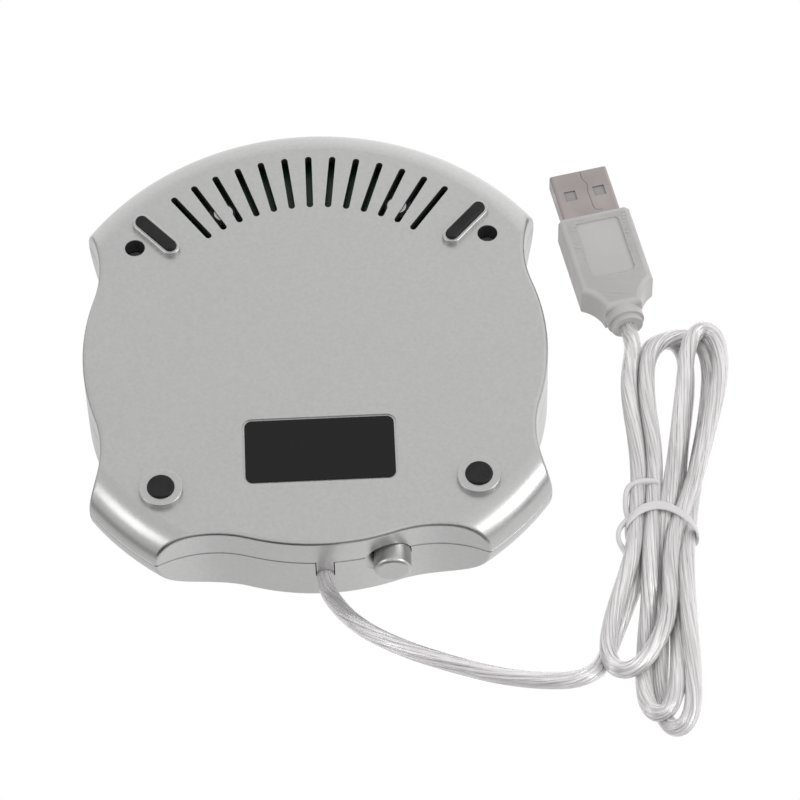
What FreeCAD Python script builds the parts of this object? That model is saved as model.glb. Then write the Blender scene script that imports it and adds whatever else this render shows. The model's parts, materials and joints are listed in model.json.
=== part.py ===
"""USB mug warmer with a four-socket hub: a parametric FreeCAD document, in millimetres.

The warmer stands on its feet with +Z up. +Y is the side with the push button and the lead, and -Y the side with
the sockets. Every sub-part is drawn about the disc's own axis. That axis stands DISC_Y from the document's
origin, which is the middle of the warmer's footprint. Each named size is a cell of the sheet "Sizes", and every
sketch and feature is bound to those cells by expressions.
"""
import FreeCAD, Part

import math
import os
import re

import Sketcher
from FreeCAD import Vector

# ---------------------------------------------------------------------------------------------------------------
# Driving dimensions: alias, value, meaning
# ---------------------------------------------------------------------------------------------------------------
SIZES = (
    ("disc_radius", 56.5, "rim radius at the parting line"),
    ("foot_height", 1.8, "underside above the table"),
    ("base_depth", 7.0, "underside to parting line"),
    ("edge_radius", 6.4, "rounding between underside and rim"),
    ("dome_radius", 12.0, "rounding between rim and roof"),
    ("wall", 2.0, "thickness of both shells"),
    ("shell_edge", 0.9, "rounded edges where an ogee wall meets a shell"),
    ("parting_edge", 0.3, "rounded edges along the parting line"),
    ("ogee_radius", 46.8, "radius of the bulge in each ogee cut"),
    ("ogee_angle", 18.0, "half the angle of that bulge"),
    ("ogee_blend", 24.0, "hollow radius on each side of the bulge"),
    ("ogee_count", 3, "ogee cuts, one each on +X, +Y and -X"),
    ("vent_count", 13, "radial slots in the underside"),
    ("vent_pitch", 6.0, "angle between slots"),
    ("vent_inner", 35.0, "inner end of a slot"),
    ("vent_outer", 48.0, "outer end of a slot"),
    ("vent_width", 1.35, "slot width"),
    ("round_foot_x", 31.3, "round foot, sideways"),
    ("round_foot_y", 32.7, "round foot, towards the button side"),
    ("round_foot_radius", 2.65, "rubber pad"),
    ("round_boss_radius", 4.35, "raised ring about the pad"),
    ("round_boss_height", 1.2, "ring below the underside"),
    ("round_foot_seat", 1.7, "depth of the pad's seat in the ring"),
    ("strip_foot_x", 31.6, "strip foot, sideways"),
    ("strip_foot_y", 29.1, "strip foot, towards the vents"),
    ("strip_foot_turn", 42.0, "angle of the strip from the Y axis"),
    ("strip_foot_length", 11.0, "rubber strip"),
    ("strip_foot_width", 2.5, "rubber strip"),
    ("strip_rim", 0.75, "rim about the strip"),
    ("strip_boss_height", 1.1, "rim below the underside"),
    ("strip_foot_seat", 1.5, "depth of the strip's seat in the rim"),
    ("foot_clearance", 0.1, "round a foot in its seat"),
    ("rim_edge", 0.25, "rounded edge of a rim about a foot"),
    ("foot_edge", 0.35, "rounded edge of a rubber foot"),
    ("label_x", 0.2, "label centre"),
    ("label_y", 24.5, "label centre"),
    ("label_length", 29.7, "bare plate"),
    ("label_width", 14.4, "bare plate"),
    ("label_thickness", 0.3, "bare plate, flush in its recess"),
    ("label_border", 0.5, "recess beyond the plate"),
    ("label_corner", 1.5, "corner radius of the plate"),
    ("case_screw_x", 36.0, "screw in an open hole, sideways"),
    ("case_screw_y", 26.5, "screw in an open hole, towards the vents"),
    ("case_hole_radius", 2.05, "open hole for the screw head"),
    ("case_head_radius", 1.9, "screw head"),
    ("case_head_height", 1.5, "screw head"),
    ("case_head_depth", 4.0, "underside to screw head"),
    ("case_shank_radius", 1.1, "screw shank"),
    ("case_screw_length", 10.0, "shank below the head"),
    ("case_boss_radius", 3.8, "post about a case screw"),
    ("thread_clearance", 0.05, "round a shank in its hole"),
    ("thread_spare", 0.2, "hole beyond a screw's end"),
    ("cord_radius", 1.7, "half the lead's diameter"),
    ("cord_x", 0.3, "lead exit, sideways"),
    ("cord_height", 12.9, "lead exit above the table"),
    ("cord_clearance", 0.2, "round the lead in the wall"),
    ("cord_straight", 3.2, "lead straight out of the wall"),
    ("tab_gap", 0.2, "beside the tab that closes the lead's notch"),
    ("clamp_inset", 8.8, "cord clamp behind the wall's outer face"),
    ("clamp_width", 5.0, "cord clamp along the lead"),
    ("clamp_length", 17.0, "cord clamp across the lead"),
    ("clamp_thickness", 2.0, "cord clamp bar above the lead's axis"),
    ("clamp_screw_spacing", 11.0, "cord clamp screws"),
    ("clamp_screw_length", 6.0, "cord clamp screws below their heads"),
    ("clamp_gap", 0.05, "between clamp bar and saddle"),
    ("tail_end_inset", 5.0, "jacket end behind the cord clamp's middle"),
    ("button_x", 13.6, "button axis, sideways"),
    ("button_height", 10.2, "button axis above the table"),
    ("button_radius", 3.7, "button cap"),
    ("button_clearance", 0.15, "round the cap in its bore"),
    ("button_proud", 3.7, "cap beyond the wall when it is out"),
    ("button_edge", 0.8, "rounded edge of the cap"),
    ("button_travel", 2.3, "stroke of the switch"),
    ("button_flange_radius", 4.7, "collar that keeps the cap in"),
    ("button_flange", 1.0, "collar thickness"),
    ("button_flange_inset", 3.58, "collar behind the outer face of the wall"),
    ("button_socket", 2.6, "depth of the cap's socket for the plunger"),
    ("dish_radius", 7.0, "soft dish round the bore"),
    ("dish_depth", 2.4, "soft dish round the bore"),
    ("dish_inset", 0.4, "mouth of the dish below the top of the bulge"),
    ("switch_width", 8.4, "switch body across"),
    ("switch_length", 9.6, "switch body along Y"),
    ("switch_gap", 3.2, "switch face behind the collar's back"),
    ("plunger_radius", 1.5, "switch plunger"),
    ("plunger_clearance", 0.08, "plunger in the switch body"),
    ("plunger_depth", 4.5, "plunger inside the switch"),
    ("plunger_spare", 0.5, "room beyond the plunger when it is in"),
    ("spring_radius", 2.5, "spring coil, to the wire's middle"),
    ("spring_wire", 0.35, "spring wire, drawn square"),
    ("spring_turns", 3, "spring coils"),
    ("board_height", 5.5, "board underside above the table"),
    ("board_thickness", 1.6, "circuit board"),
    ("board_gap", 2.5, "curved edge of the board to the wall"),
    ("board_front_angle", 40.0, "half the angle of that edge"),
    ("board_half_width", 33.0, "board sideways"),
    ("board_back", 24.0, "straight edge of the board"),
    ("board_cut_x", 3.0, "cut corner beside a case screw, sideways"),
    ("board_cut_near", 1.0, "that corner's near end, behind the screw"),
    ("board_cut_far", 8.0, "that corner's far end, behind the screw"),
    ("board_switch_left", 0.2, "board beside the switch"),
    ("board_switch_right", 2.0, "board beside the switch"),
    ("board_switch_front", 0.5, "switch beyond the board"),
    ("board_light_half", 3.5, "half the board's tongue under the power light"),
    ("board_light_end", 2.5, "that tongue beyond the light"),
    ("peg_radius", 2.75, "board pegs and posts"),
    ("peg_circle", 40.0, "pegs under the sockets, from the disc axis"),
    ("peg_angle", 27.0, "pegs under the sockets, from the -Y axis"),
    ("board_screw_x", 25.0, "board screws"),
    ("board_screw_front", 8.0, "board screws, towards the vents"),
    ("board_screw_back", 17.0, "board screws, towards the button"),
    ("small_shank_radius", 0.95, "shank of the small screws"),
    ("small_head_radius", 1.9, "head of the small screws"),
    ("small_head_height", 1.2, "head of the small screws"),
    ("board_screw_grip", 2.4, "board screw below the board"),
    ("port_count", 4, "sockets"),
    ("port_pitch", 20.0, "angle between sockets"),
    ("port_front", 55.2, "socket mouth from the disc axis"),
    ("port_depth", 14.0, "socket shell"),
    ("port_width", 13.1, "socket shell"),
    ("port_tall", 5.8, "socket shell"),
    ("port_metal", 0.35, "socket sheet"),
    ("port_gap", 0.3, "window beyond the socket shell"),
    ("tongue_width", 11.1, "socket tongue"),
    ("tongue_thickness", 1.8, "socket tongue"),
    ("tongue_length", 8.9, "socket tongue ahead of its block"),
    ("tongue_block", 3.6, "insulator behind the tongue"),
    ("contact_pitch", 2.5, "outer contacts"),
    ("contact_inner_pitch", 2.0, "inner pair of contacts"),
    ("contact_width", 1.0, "contact strip"),
    ("contact_thickness", 0.25, "contact strip"),
    ("contact_length", 7.5, "contact strip"),
    ("plate_radius", 38.0, "heating plate"),
    ("plate_thickness", 1.2, "heating plate at its rim"),
    ("plate_dish", 0.3, "rim above the mug rest"),
    ("plate_rim", 2.6, "width of that rim"),
    ("plate_edge", 0.5, "rounded edge of the plate"),
    ("plate_clearance", 0.4, "round the plate"),
    ("ledge_depth", 1.2, "plate seat below the roof"),
    ("opening_radius", 36.0, "hole in the roof below the plate"),
    ("gasket_thickness", 0.8, "silicone ring"),
    ("gasket_clearance", 0.3, "beside the silicone ring"),
    ("film_radius", 34.5, "heater film"),
    ("film_thickness", 0.4, "heater film"),
    ("insulation_radius", 33.0, "insulation disc"),
    ("insulation_thickness", 2.4, "insulation disc"),
    ("holder_thickness", 0.8, "sheet that clamps the plate's stack"),
    ("holder_arm_width", 8.0, "arm of the sheet"),
    ("holder_arm_end", 3.0, "arm beyond its screw"),
    ("holder_arm_start", 60.0, "angle of the first arm"),
    ("holder_hole_radius", 10.0, "opening in the middle of the sheet"),
    ("holder_screw_inset", 3.8, "screws of the sheet to the inner face of the wall"),
    ("holder_screw_count", 3, "screws of the sheet"),
    ("holder_screw_length", 3.2, "shank above the sheet's underside"),
    ("fuse_radius", 1.6, "thermal fuse"),
    ("fuse_length", 9.0, "thermal fuse"),
    ("fuse_lead_radius", 0.4, "fuse leads"),
    ("fuse_lead_length", 5.0, "fuse leads"),
    ("fuse_y", 16.0, "thermal fuse from the disc axis"),
    ("lead_radius", 0.5, "heater leads"),
    ("lead_circle", 34.0, "heater leads from the disc axis"),
    ("lead_angle", 23.0, "first heater lead from the +X axis"),
    ("lead_spread", 7.0, "angle between the heater leads"),
    ("led_x", -24.0, "power light"),
    ("led_y", 32.6, "power light"),
    ("led_radius", 1.5, "lamp"),
    ("led_height", 5.4, "lamp above the board"),
    ("led_flange", 0.3, "foot beyond the lamp"),
    ("led_foot", 0.8, "foot of the lamp"),
    ("window_radius", 1.5, "light pipe"),
    ("window_proud", 0.2, "light pipe above the roof"),
    ("window_clearance", 0.05, "round the light pipe"),
    ("window_gap", 0.3, "lamp to light pipe"),
    ("window_collar", 0.8, "collar of the light pipe"),
    ("window_edge", 0.15, "cut edge of the light pipe"),
    ("chip_size", 10.0, "hub controller"),
    ("chip_height", 1.3, "hub controller"),
    ("chip_y", -16.0, "hub controller"),
    ("chip_gap", 0.2, "hub controller above the board"),
    ("pin_pitch", 1.25, "pins of the hub controller"),
    ("pin_width", 0.5, "pin"),
    ("pin_reach", 1.4, "pin beyond the controller's edge"),
    ("pin_height", 0.5, "pin"),
    ("crystal_x", 13.0, "crystal can, sideways"),
    ("crystal_length", 10.2, "crystal can"),
    ("crystal_width", 3.8, "crystal can"),
    ("crystal_height", 3.5, "crystal can"),
    ("crystal_flange", 0.5, "foot of the crystal can"),
    ("can_radius", 2.5, "capacitor"),
    ("can_height", 7.5, "capacitor"),
    ("can_rim", 0.6, "sleeve on a capacitor's end"),
    ("can_sink", 0.3, "end below that sleeve"),
    ("header_x", -8.0, "wire header"),
    ("header_y", 20.0, "wire header"),
    ("header_length", 12.4, "wire header"),
    ("header_width", 5.6, "wire header"),
    ("header_height", 6.0, "wire header"),
    ("header_rim", 0.8, "wall of the wire header"),
    ("header_back", 2.2, "thick wall of the wire header, where the wires enter"),
    ("header_sink", 3.0, "trough in the wire header"),
    ("wire_radius", 0.45, "inner wires of the lead"),
    ("wire_count", 4, "inner wires of the lead"),
    ("wire_gap", 0.36, "wire end to what it meets"),
    ("wire_pitch", 0.8, "wires where they leave the jacket"),
    ("wire_header_pitch", 2.5, "wires at the header"),
    ("plug_tail_length", 8.4, "straight lead between hank and plug neck"),
    ("plug_x", 63.12, "plug neck"),
    ("plug_y", -3.16, "plug neck from the disc axis"),
    ("plug_turn", 11.5, "angle of the plug from the Y axis"),
    ("plug_width", 15.0, "grip of the plug"),
    ("plug_thickness", 8.0, "grip of the plug"),
    ("plug_length", 27.0, "neck to front of the grip"),
    ("plug_neck_width", 6.4, "neck"),
    ("plug_collar", 0.6, "neck's root beyond the neck"),
    ("plug_neck_length", 3.0, "neck with its root"),
    ("plug_neck_tip", 1.2, "neck beyond its root"),
    ("plug_shoulder", 8.2, "neck end to where the shoulders begin"),
    ("plug_shoulder_radius", 7.0, "hollow of the shoulders"),
    ("plug_corner", 0.8, "cut corner at the front of the grip"),
    ("plug_edge", 1.2, "rounded edges of the grip"),
    ("panel_depth", 0.35, "recess in each face of the grip"),
    ("panel_length", 13.8, "that recess along the plug"),
    ("panel_width", 9.3, "that recess across the plug"),
    ("panel_front", 2.3, "grip front to that recess"),
    ("panel_corner", 1.0, "corner of that recess"),
    ("plug_shell_width", 12.0, "metal shell"),
    ("plug_shell_thickness", 4.5, "metal shell"),
    ("plug_shell_reach", 11.8, "metal shell beyond the grip"),
    ("plug_shell_root", 5.0, "metal shell inside the grip"),
    ("plug_metal", 0.3, "metal shell sheet"),
    ("plug_shell_corner", 0.6, "rounded long edges of the shell"),
    ("plug_tongue", 1.9, "insulator in the shell"),
    ("plug_tongue_back", 0.4, "shell tip to insulator"),
    ("plug_contact_back", 1.5, "shell tip to contacts"),
    ("plug_window", 2.4, "square windows in the shell"),
    ("plug_window_spacing", 6.1, "between the windows' middles"),
    ("plug_window_tip", 5.7, "shell tip to the windows' middle"),
    ("hank_height", 6.8, "two layers of lead"),
    ("tie_y", 43.0, "tie about the hank"),
    ("tie_left", 57.6, "tie about the hank, sideways"),
    ("tie_right", 75.6, "tie about the hank, sideways"),
    ("tie_width", 2.4, "tie about the hank"),
    ("tie_thickness", 0.6, "tie about the hank"),
)

doc = FreeCAD.newDocument("mug_warmer")
sheet = doc.addObject("Spreadsheet::Sheet", "Sizes")
for row, (alias, number, meaning) in enumerate(SIZES, start=1):
    sheet.set(f"A{row}", alias)
    sheet.set(f"B{row}", str(number))
    sheet.set(f"C{row}", meaning)
    sheet.setAlias(f"B{row}", alias)
doc.recompute()
ALIASES = {alias for alias, number, meaning in SIZES}

# Heights and places that follow from the driving dimensions
PARTING = "(foot_height + base_depth)"
ROOF = f"({PARTING} + dome_radius)"
CEILING = f"({ROOF} - wall)"
FLOOR = "(foot_height + wall)"
BOARD_TOP = "(board_height + board_thickness)"
LEDGE = f"({ROOF} - ledge_depth)"
PLATE_BOTTOM = f"({LEDGE} + gasket_thickness)"
PLATE_TOP = f"({PLATE_BOTTOM} + plate_thickness)"
FILM_BOTTOM = f"({PLATE_BOTTOM} - film_thickness)"
INSULATION_BOTTOM = f"({FILM_BOTTOM} - insulation_thickness)"
HOLDER_BOTTOM = f"({INSULATION_BOTTOM} - holder_thickness)"
BUTTON_WALL = "sqrt(ogee_radius * ogee_radius - button_x * button_x)"
BUTTON_FACE = f"({BUTTON_WALL} + button_proud)"
DISC_Y = f"((disc_radius - {BUTTON_FACE}) / 2)"
BORE = "(button_radius + button_clearance)"
DISH_Y = "(ogee_radius - dish_inset)"
FLANGE_Y = f"({BUTTON_WALL} - button_flange_inset)"
FLANGE_BACK = f"({FLANGE_Y} - button_flange)"
SWITCH_Y = f"({FLANGE_BACK} - switch_gap)"
CLAMP_Y = "(ogee_radius - clamp_inset)"
TAIL_END_Y = f"({CLAMP_Y} - tail_end_inset)"
CORD_WALL = "sqrt(ogee_radius * ogee_radius - cord_x * cord_x)"
BOARD_RADIUS = "(disc_radius - wall - board_gap)"
HOLDER_CIRCLE = "(ogee_radius - wall - holder_screw_inset)"
BEYOND = 4.0  # how far a cutting sketch runs past the solid that it cuts
SMOOTH = 0.1  # faces that meet at less than this angle, in radians, leave no edge to round


# ---------------------------------------------------------------------------------------------------------------
# Small helpers
# ---------------------------------------------------------------------------------------------------------------
def formula(text):
    """Turns a formula in aliases into one that any object of the document can read."""
    return re.sub(r"[a-z_]+", lambda word: f"Sizes.{word[0]}" if word[0] in ALIASES else word[0], str(text))


def value(text):
    """The number that a formula gives now."""
    return float(sheet.evalExpression(formula(text)))


def place(item, across="0", along="0", up="0", turn="0"):
    """Puts a sub-part at a place given from the disc axis, turned about +Z."""
    item.Placement = FreeCAD.Placement(Vector(), FreeCAD.Rotation(Vector(0, 0, 1), value(turn)))
    item.setExpression("Placement.Base.x", formula(across))
    item.setExpression("Placement.Base.y", formula(f"{along} + {DISC_Y}"))
    item.setExpression("Placement.Base.z", formula(up))
    if turn != "0":
        item.setExpression("Placement.Rotation.Angle", formula(turn))


def new_body(label, loose=False, **where):
    """A body named after its node. A loose one may hold several separate solids."""
    body = doc.addObject("PartDesign::Body", label)
    body.Label = label
    body.AllowCompound = loose
    place(body, **where)
    return body


def origin_part(body, role):
    return next(item for item in body.Origin.OriginFeatures if item.Role == role)


def new_sketch(body, role="XY_Plane", offset="0", turn="0", across="0", along="0"):
    """A sketch on one of the body's own planes, moved along its normal by offset and turned in its plane."""
    sketch = body.newObject("Sketcher::SketchObject", f"{body.Label}_sketch")
    sketch.AttachmentSupport = [(origin_part(body, role), "")]
    sketch.MapMode = "FlatFace"
    spin = FreeCAD.Rotation(Vector(0, 0, 1), value(turn))
    sketch.AttachmentOffset = FreeCAD.Placement(Vector(), spin)
    sketch.setExpression("AttachmentOffset.Base.x", formula(across))
    sketch.setExpression("AttachmentOffset.Base.y", formula(along))
    sketch.setExpression("AttachmentOffset.Base.z", formula(offset))
    if turn != "0":
        sketch.setExpression("AttachmentOffset.Rotation.Angle", formula(turn))
    return sketch


def constrain(sketch, kind, *where, size):
    """Adds a dimension that is bound to a formula."""
    index = sketch.addConstraint(Sketcher.Constraint(kind, *where, value(size)))
    sketch.setExpression(f"Constraints[{index}]", formula(size))


def pin(sketch, geometry, point, across, along):
    """Fixes a point of the sketch at two formulas."""
    if across == "0":
        sketch.addConstraint(Sketcher.Constraint("PointOnObject", geometry, point, -2))
    else:
        constrain(sketch, "DistanceX", -1, 1, geometry, point, size=across)
    if along == "0":
        sketch.addConstraint(Sketcher.Constraint("PointOnObject", geometry, point, -1))
    else:
        constrain(sketch, "DistanceY", -1, 1, geometry, point, size=along)


def arc_between(start, end, radius, side):
    """The short arc from start to end whose centre lies to the left or right of the way along it."""
    chord = end - start
    rise = math.sqrt(max(radius * radius - chord.Length * chord.Length / 4, 0))
    left = Vector(-chord.y, chord.x, 0).normalize()
    centre = (start + end) / 2 + left * (rise if side == "left" else -rise)
    angles = [math.atan2(spot.y - centre.y, spot.x - centre.x) for spot in (start, end)]
    if side == "right":
        angles.reverse()
    return Part.ArcOfCircle(Part.Circle(centre, Vector(0, 0, 1), radius), *angles)


def outline(sketch, corners):
    """Draws a closed outline through corners (x, y), or (x, y, radius, side) where an arc leads to the next."""
    first = sketch.GeometryCount
    count = len(corners)
    spots = [Vector(value(corner[0]), value(corner[1]), 0) for corner in corners]
    ends = []
    for number, corner in enumerate(corners):
        start, end = spots[number], spots[(number + 1) % count]
        if len(corner) == 2:
            sketch.addGeometry(Part.LineSegment(start, end))
            ends.append((1, 2))
        else:
            sketch.addGeometry(arc_between(start, end, value(corner[2]), corner[3]))
            ends.append((1, 2) if corner[3] == "left" else (2, 1))
    for number in range(count):
        after = (number + 1) % count
        joint = (first + number, ends[number][1], first + after, ends[after][0])
        sketch.addConstraint(Sketcher.Constraint("Coincident", *joint))
    for number, corner in enumerate(corners):
        pin(sketch, first + number, ends[number][0], corner[0], corner[1])
        if len(corner) == 4:
            constrain(sketch, "Radius", first + number, size=corner[2])
    return sketch


def circles(sketch, rounds):
    """Draws circles (x, y, radius)."""
    for across, along, radius in rounds:
        centre = Vector(value(across), value(along), 0)
        geometry = sketch.addGeometry(Part.Circle(centre, Vector(0, 0, 1), value(radius)))
        pin(sketch, geometry, 3, across, along)
        constrain(sketch, "Radius", geometry, size=radius)
    return sketch


def rectangle(sketch, left, right, bottom, top):
    return outline(sketch, [(left, bottom), (right, bottom), (right, top), (left, top)])


def rounded_rectangle(sketch, half_length, half_width, radius, across="0", along="0"):
    """A rectangle with round corners about a middle."""
    corners = []
    for out, side, first_arc in ((1, -1, "y"), (1, 1, "x"), (-1, 1, "y"), (-1, -1, "x")):
        far_x = f"({across} + {out} * ({half_length}))"
        far_y = f"({along} + {side} * ({half_width}))"
        near_x = f"({across} + {out} * ({half_length} - {radius}))"
        near_y = f"({along} + {side} * ({half_width} - {radius}))"
        begin, finish = ((near_x, far_y), (far_x, near_y))
        if first_arc == "x":
            begin, finish = finish, begin
        corners += [(*begin, radius, "left"), finish]
    return outline(sketch, corners)


def slot(sketch, half_length, half_width):
    """A slot with round ends along the sketch's Y axis, about its origin."""
    reach = f"({half_length} - {half_width})"
    corners = [
        (half_width, f"-{reach}"),
        (half_width, reach, half_width, "left"),
        ("0", half_length, half_width, "left"),
        (f"-{half_width}", reach),
        (f"-{half_width}", f"-{reach}", half_width, "left"),
        ("0", f"-({half_length})", half_width, "left"),
    ]
    return outline(sketch, corners)


def grow(body, sketch, length, kind="PartDesign::Pad"):
    """Pads or pockets a sketch by a length, in the direction of its normal."""
    feature = body.newObject(kind, f"{body.Label}_{kind.split('::')[1].lower()}")
    feature.Profile = sketch
    feature.setExpression("Length", formula(length))
    feature.Reversed = kind == "PartDesign::Pocket"
    sketch.Visibility = False
    return feature


def cut(body, sketch, length):
    return grow(body, sketch, length, "PartDesign::Pocket")


def turn_about(body, sketch, axis, kind="PartDesign::Revolution"):
    """Revolves a sketch by a full turn."""
    feature = body.newObject(kind, f"{body.Label}_{kind.split('::')[1].lower()}")
    feature.Profile = sketch
    feature.ReferenceAxis = axis
    feature.Angle = 360
    return feature


def revolve(body, corners):
    """A solid of revolution about +Z, from a half section of (radius, height) corners."""
    sketch = outline(new_sketch(body, "XZ_Plane"), corners)
    return turn_about(body, sketch, (origin_part(body, "Z_Axis"), [""]))


def repeat_round(body, feature, count, pitch):
    """Repeats a feature about +Z, count times, a pitch in degrees apart."""
    pattern = body.newObject("PartDesign::PolarPattern", f"{body.Label}_pattern")
    pattern.Originals = [feature]
    pattern.Axis = (origin_part(body, "Z_Axis"), [""])
    pattern.setExpression("Occurrences", formula(count))
    pattern.setExpression("Angle", formula(f"({pitch}) * ({count} - 1)"))
    body.Tip = pattern
    return pattern


def meet_at_angle(shape, edge):
    """Whether the two faces beside an edge meet at an angle."""
    middle = edge.valueAt((edge.FirstParameter + edge.LastParameter) / 2)
    faces = shape.ancestorsOfType(edge, Part.Face)
    normals = [face.normalAt(*face.Surface.parameter(middle)) for face in faces]
    return len(normals) == 2 and normals[0].getAngle(normals[1]) > SMOOTH


def flat_at(height):
    """A test of an edge's bounds: whether it lies flat at a height."""
    level = value(height)
    return lambda bounds: abs(bounds.ZMin - level) < 1e-4 and abs(bounds.ZMax - level) < 1e-4


def round_edges(body, radius, wanted):
    """Rounds the edges of the body's tip whose bounds pass a test, apart from smooth ones."""
    doc.recompute()
    base = body.Tip
    numbered = enumerate(base.Shape.Edges, start=1)
    names = [f"Edge{number}" for number, edge in numbered if wanted(edge.BoundBox) and meet_at_angle(base.Shape, edge)]
    fillet = body.newObject("PartDesign::Fillet", f"{body.Label}_fillet")
    fillet.Base = (base, names)
    fillet.setExpression("Radius", formula(radius))
    body.Tip = fillet
    return fillet


def post(body, spots, radius, bottom, top):
    """Round posts between two heights."""
    sketch = circles(new_sketch(body, offset=bottom), [(x, y, radius) for x, y in spots])
    return grow(body, sketch, f"{top} - {bottom}")


def bore(body, spots, radius, bottom, top):
    """Round holes between two heights."""
    sketch = circles(new_sketch(body, offset=bottom), [(x, y, radius) for x, y in spots])
    return cut(body, sketch, f"{top} - {bottom}")


def block(body, left, right, near, far, bottom, top):
    """A rectangular block between two heights."""
    return grow(body, rectangle(new_sketch(body, offset=bottom), left, right, near, far), f"{top} - {bottom}")


def both_sides(across, along):
    return [(across, along), (f"-{across}", along)]


CROSS_REACH = 0.6  # arm of a screw's cross, as a share of its head's radius
CROSS_HALF = 0.14  # half that arm's width, as the same share


def screw(label, spots, head_bottom, head_height, head_radius, shank_radius, shank_length, upward=True):
    """A set of cross-head screws in one node. An upward screw has its head at the bottom."""
    body = new_body(label, loose=True)
    head_top = f"({head_bottom} + {head_height})"
    post(body, spots, head_radius, head_bottom, head_top)
    if upward:
        post(body, spots, shank_radius, head_top, f"({head_top} + {shank_length})")
        slot_bottom = f"({head_bottom} - 1)"
        slot_top = f"({head_bottom} + {head_height} / 2)"
    else:
        post(body, spots, shank_radius, f"({head_bottom} - {shank_length})", head_bottom)
        slot_bottom = f"({head_bottom} + {head_height} / 2)"
        slot_top = f"({head_top} + 1)"
    for x, y in spots:
        reach, half = f"({head_radius} * {CROSS_REACH})", f"({head_radius} * {CROSS_HALF})"
        arms = (
            (half, f"-{reach}"),
            (half, f"-{half}"),
            (reach, f"-{half}"),
            (reach, half),
            (half, half),
            (half, reach),
            (f"-{half}", reach),
            (f"-{half}", half),
            (f"-{reach}", half),
            (f"-{reach}", f"-{half}"),
            (f"-{half}", f"-{half}"),
            (f"-{half}", f"-{reach}"),
        )
        cross = outline(new_sketch(body, offset=slot_bottom, across=x, along=y), arms)
        cut(body, cross, f"{slot_top} - {slot_bottom}")
    return body


# ---------------------------------------------------------------------------------------------------------------
# The two shells: discs of revolution with three ogee cuts, hollowed by a core of the same form
# ---------------------------------------------------------------------------------------------------------------
def ogee_cuts(body, inset):
    """Cuts the three ogees, whose faces stand inset inside the outer ones, through the whole height."""
    bulge = f"(ogee_radius - {inset})"
    blend = f"(ogee_blend + {inset})"
    centre = "(ogee_radius + ogee_blend)"
    outside = f"(disc_radius + {BEYOND})"
    spread = (
        f"(ogee_angle + acos(({outside} * {outside} + {centre} * {centre} - {blend} * {blend})"
        f" / (2 * {outside} * {centre})) / 1 deg)"
    )
    corners = [
        (f"{bulge} * cos(ogee_angle)", f"-{bulge} * sin(ogee_angle)", bulge, "left"),
        (f"{bulge} * cos(ogee_angle)", f"{bulge} * sin(ogee_angle)", blend, "right"),
        (f"{outside} * cos({spread})", f"{outside} * sin({spread})", outside, "right"),
        (f"{outside} * cos({spread})", f"-{outside} * sin({spread})", blend, "right"),
    ]
    sketch = outline(new_sketch(body, offset=f"-{BEYOND}"), corners)
    notch = cut(body, sketch, f"{ROOF} + {2 * BEYOND}")
    return repeat_round(body, notch, "ogee_count", "90")


def round_shell(body):
    """Rounds a shell's edges beside the ogee walls, and then its edges along the parting line."""
    at_parting = flat_at(PARTING)
    round_edges(body, "shell_edge", lambda bounds: not at_parting(bounds))
    round_edges(body, "parting_edge", at_parting)


def hollow(body, core):
    """Takes the core body out of a shell."""
    boolean = body.newObject("PartDesign::Boolean", f"{body.Label}_hollow")
    boolean.Type = "Cut"
    boolean.setObjects([core])
    return boolean


def core_body(label, corners):
    core = doc.addObject("PartDesign::Body", label)
    core.Label = label
    revolve(core, corners)
    ogee_cuts(core, "wall")
    return core


def port_windows(body, bottom, top):
    """The row of windows in the wall for the sockets."""
    half = "(port_width / 2 + port_gap)"
    start = "(-port_pitch * (port_count - 1) / 2)"
    sketch = new_sketch(body, offset=bottom, turn=start)
    rectangle(sketch, f"-{half}", half, f"-(disc_radius + {BEYOND})", "-(port_front - port_depth / 2)")
    return repeat_round(body, cut(body, sketch, f"{top} - {bottom}"), "port_count", "port_pitch")


def button_bore(body):
    """The bore for the cap with the soft dish round its mouth, turned about the button's axis."""
    sketch = new_sketch(body, offset="button_height")
    mouth = f"(disc_radius + {BEYOND})"
    flare = f"(dish_radius - {BORE})"
    rounding = f"(({flare} * {flare} + dish_depth * dish_depth) / (2 * dish_depth))"
    corners = [
        ("button_x", mouth),
        ("button_x", f"({TAIL_END_Y} + clamp_width)"),
        (f"(button_x + {BORE})", f"({TAIL_END_Y} + clamp_width)"),
        (f"(button_x + {BORE})", f"({DISH_Y} - dish_depth)", rounding, "right"),
        ("(button_x + dish_radius)", DISH_Y),
        ("(button_x + dish_radius)", mouth),
    ]
    outline(sketch, corners)
    return turn_about(body, sketch, (sketch, ["Edge1"]), "PartDesign::Groove")


CASE_SCREWS = both_sides("case_screw_x", "-case_screw_y")
ROUND_FEET = both_sides("round_foot_x", "round_foot_y")
BOARD_SCREWS = both_sides("board_screw_x", "-board_screw_front") + both_sides("board_screw_x", "board_screw_back")
PEGS = both_sides("(peg_circle * sin(peg_angle))", "-(peg_circle * cos(peg_angle))")
CLAMP_SCREWS = [(f"(cord_x + {side} * clamp_screw_spacing / 2)", CLAMP_Y) for side in (-1, 1)]
SMALL_HOLE = "(small_shank_radius + thread_clearance)"
CASE_HOLE = "(case_shank_radius + thread_clearance)"


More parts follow.
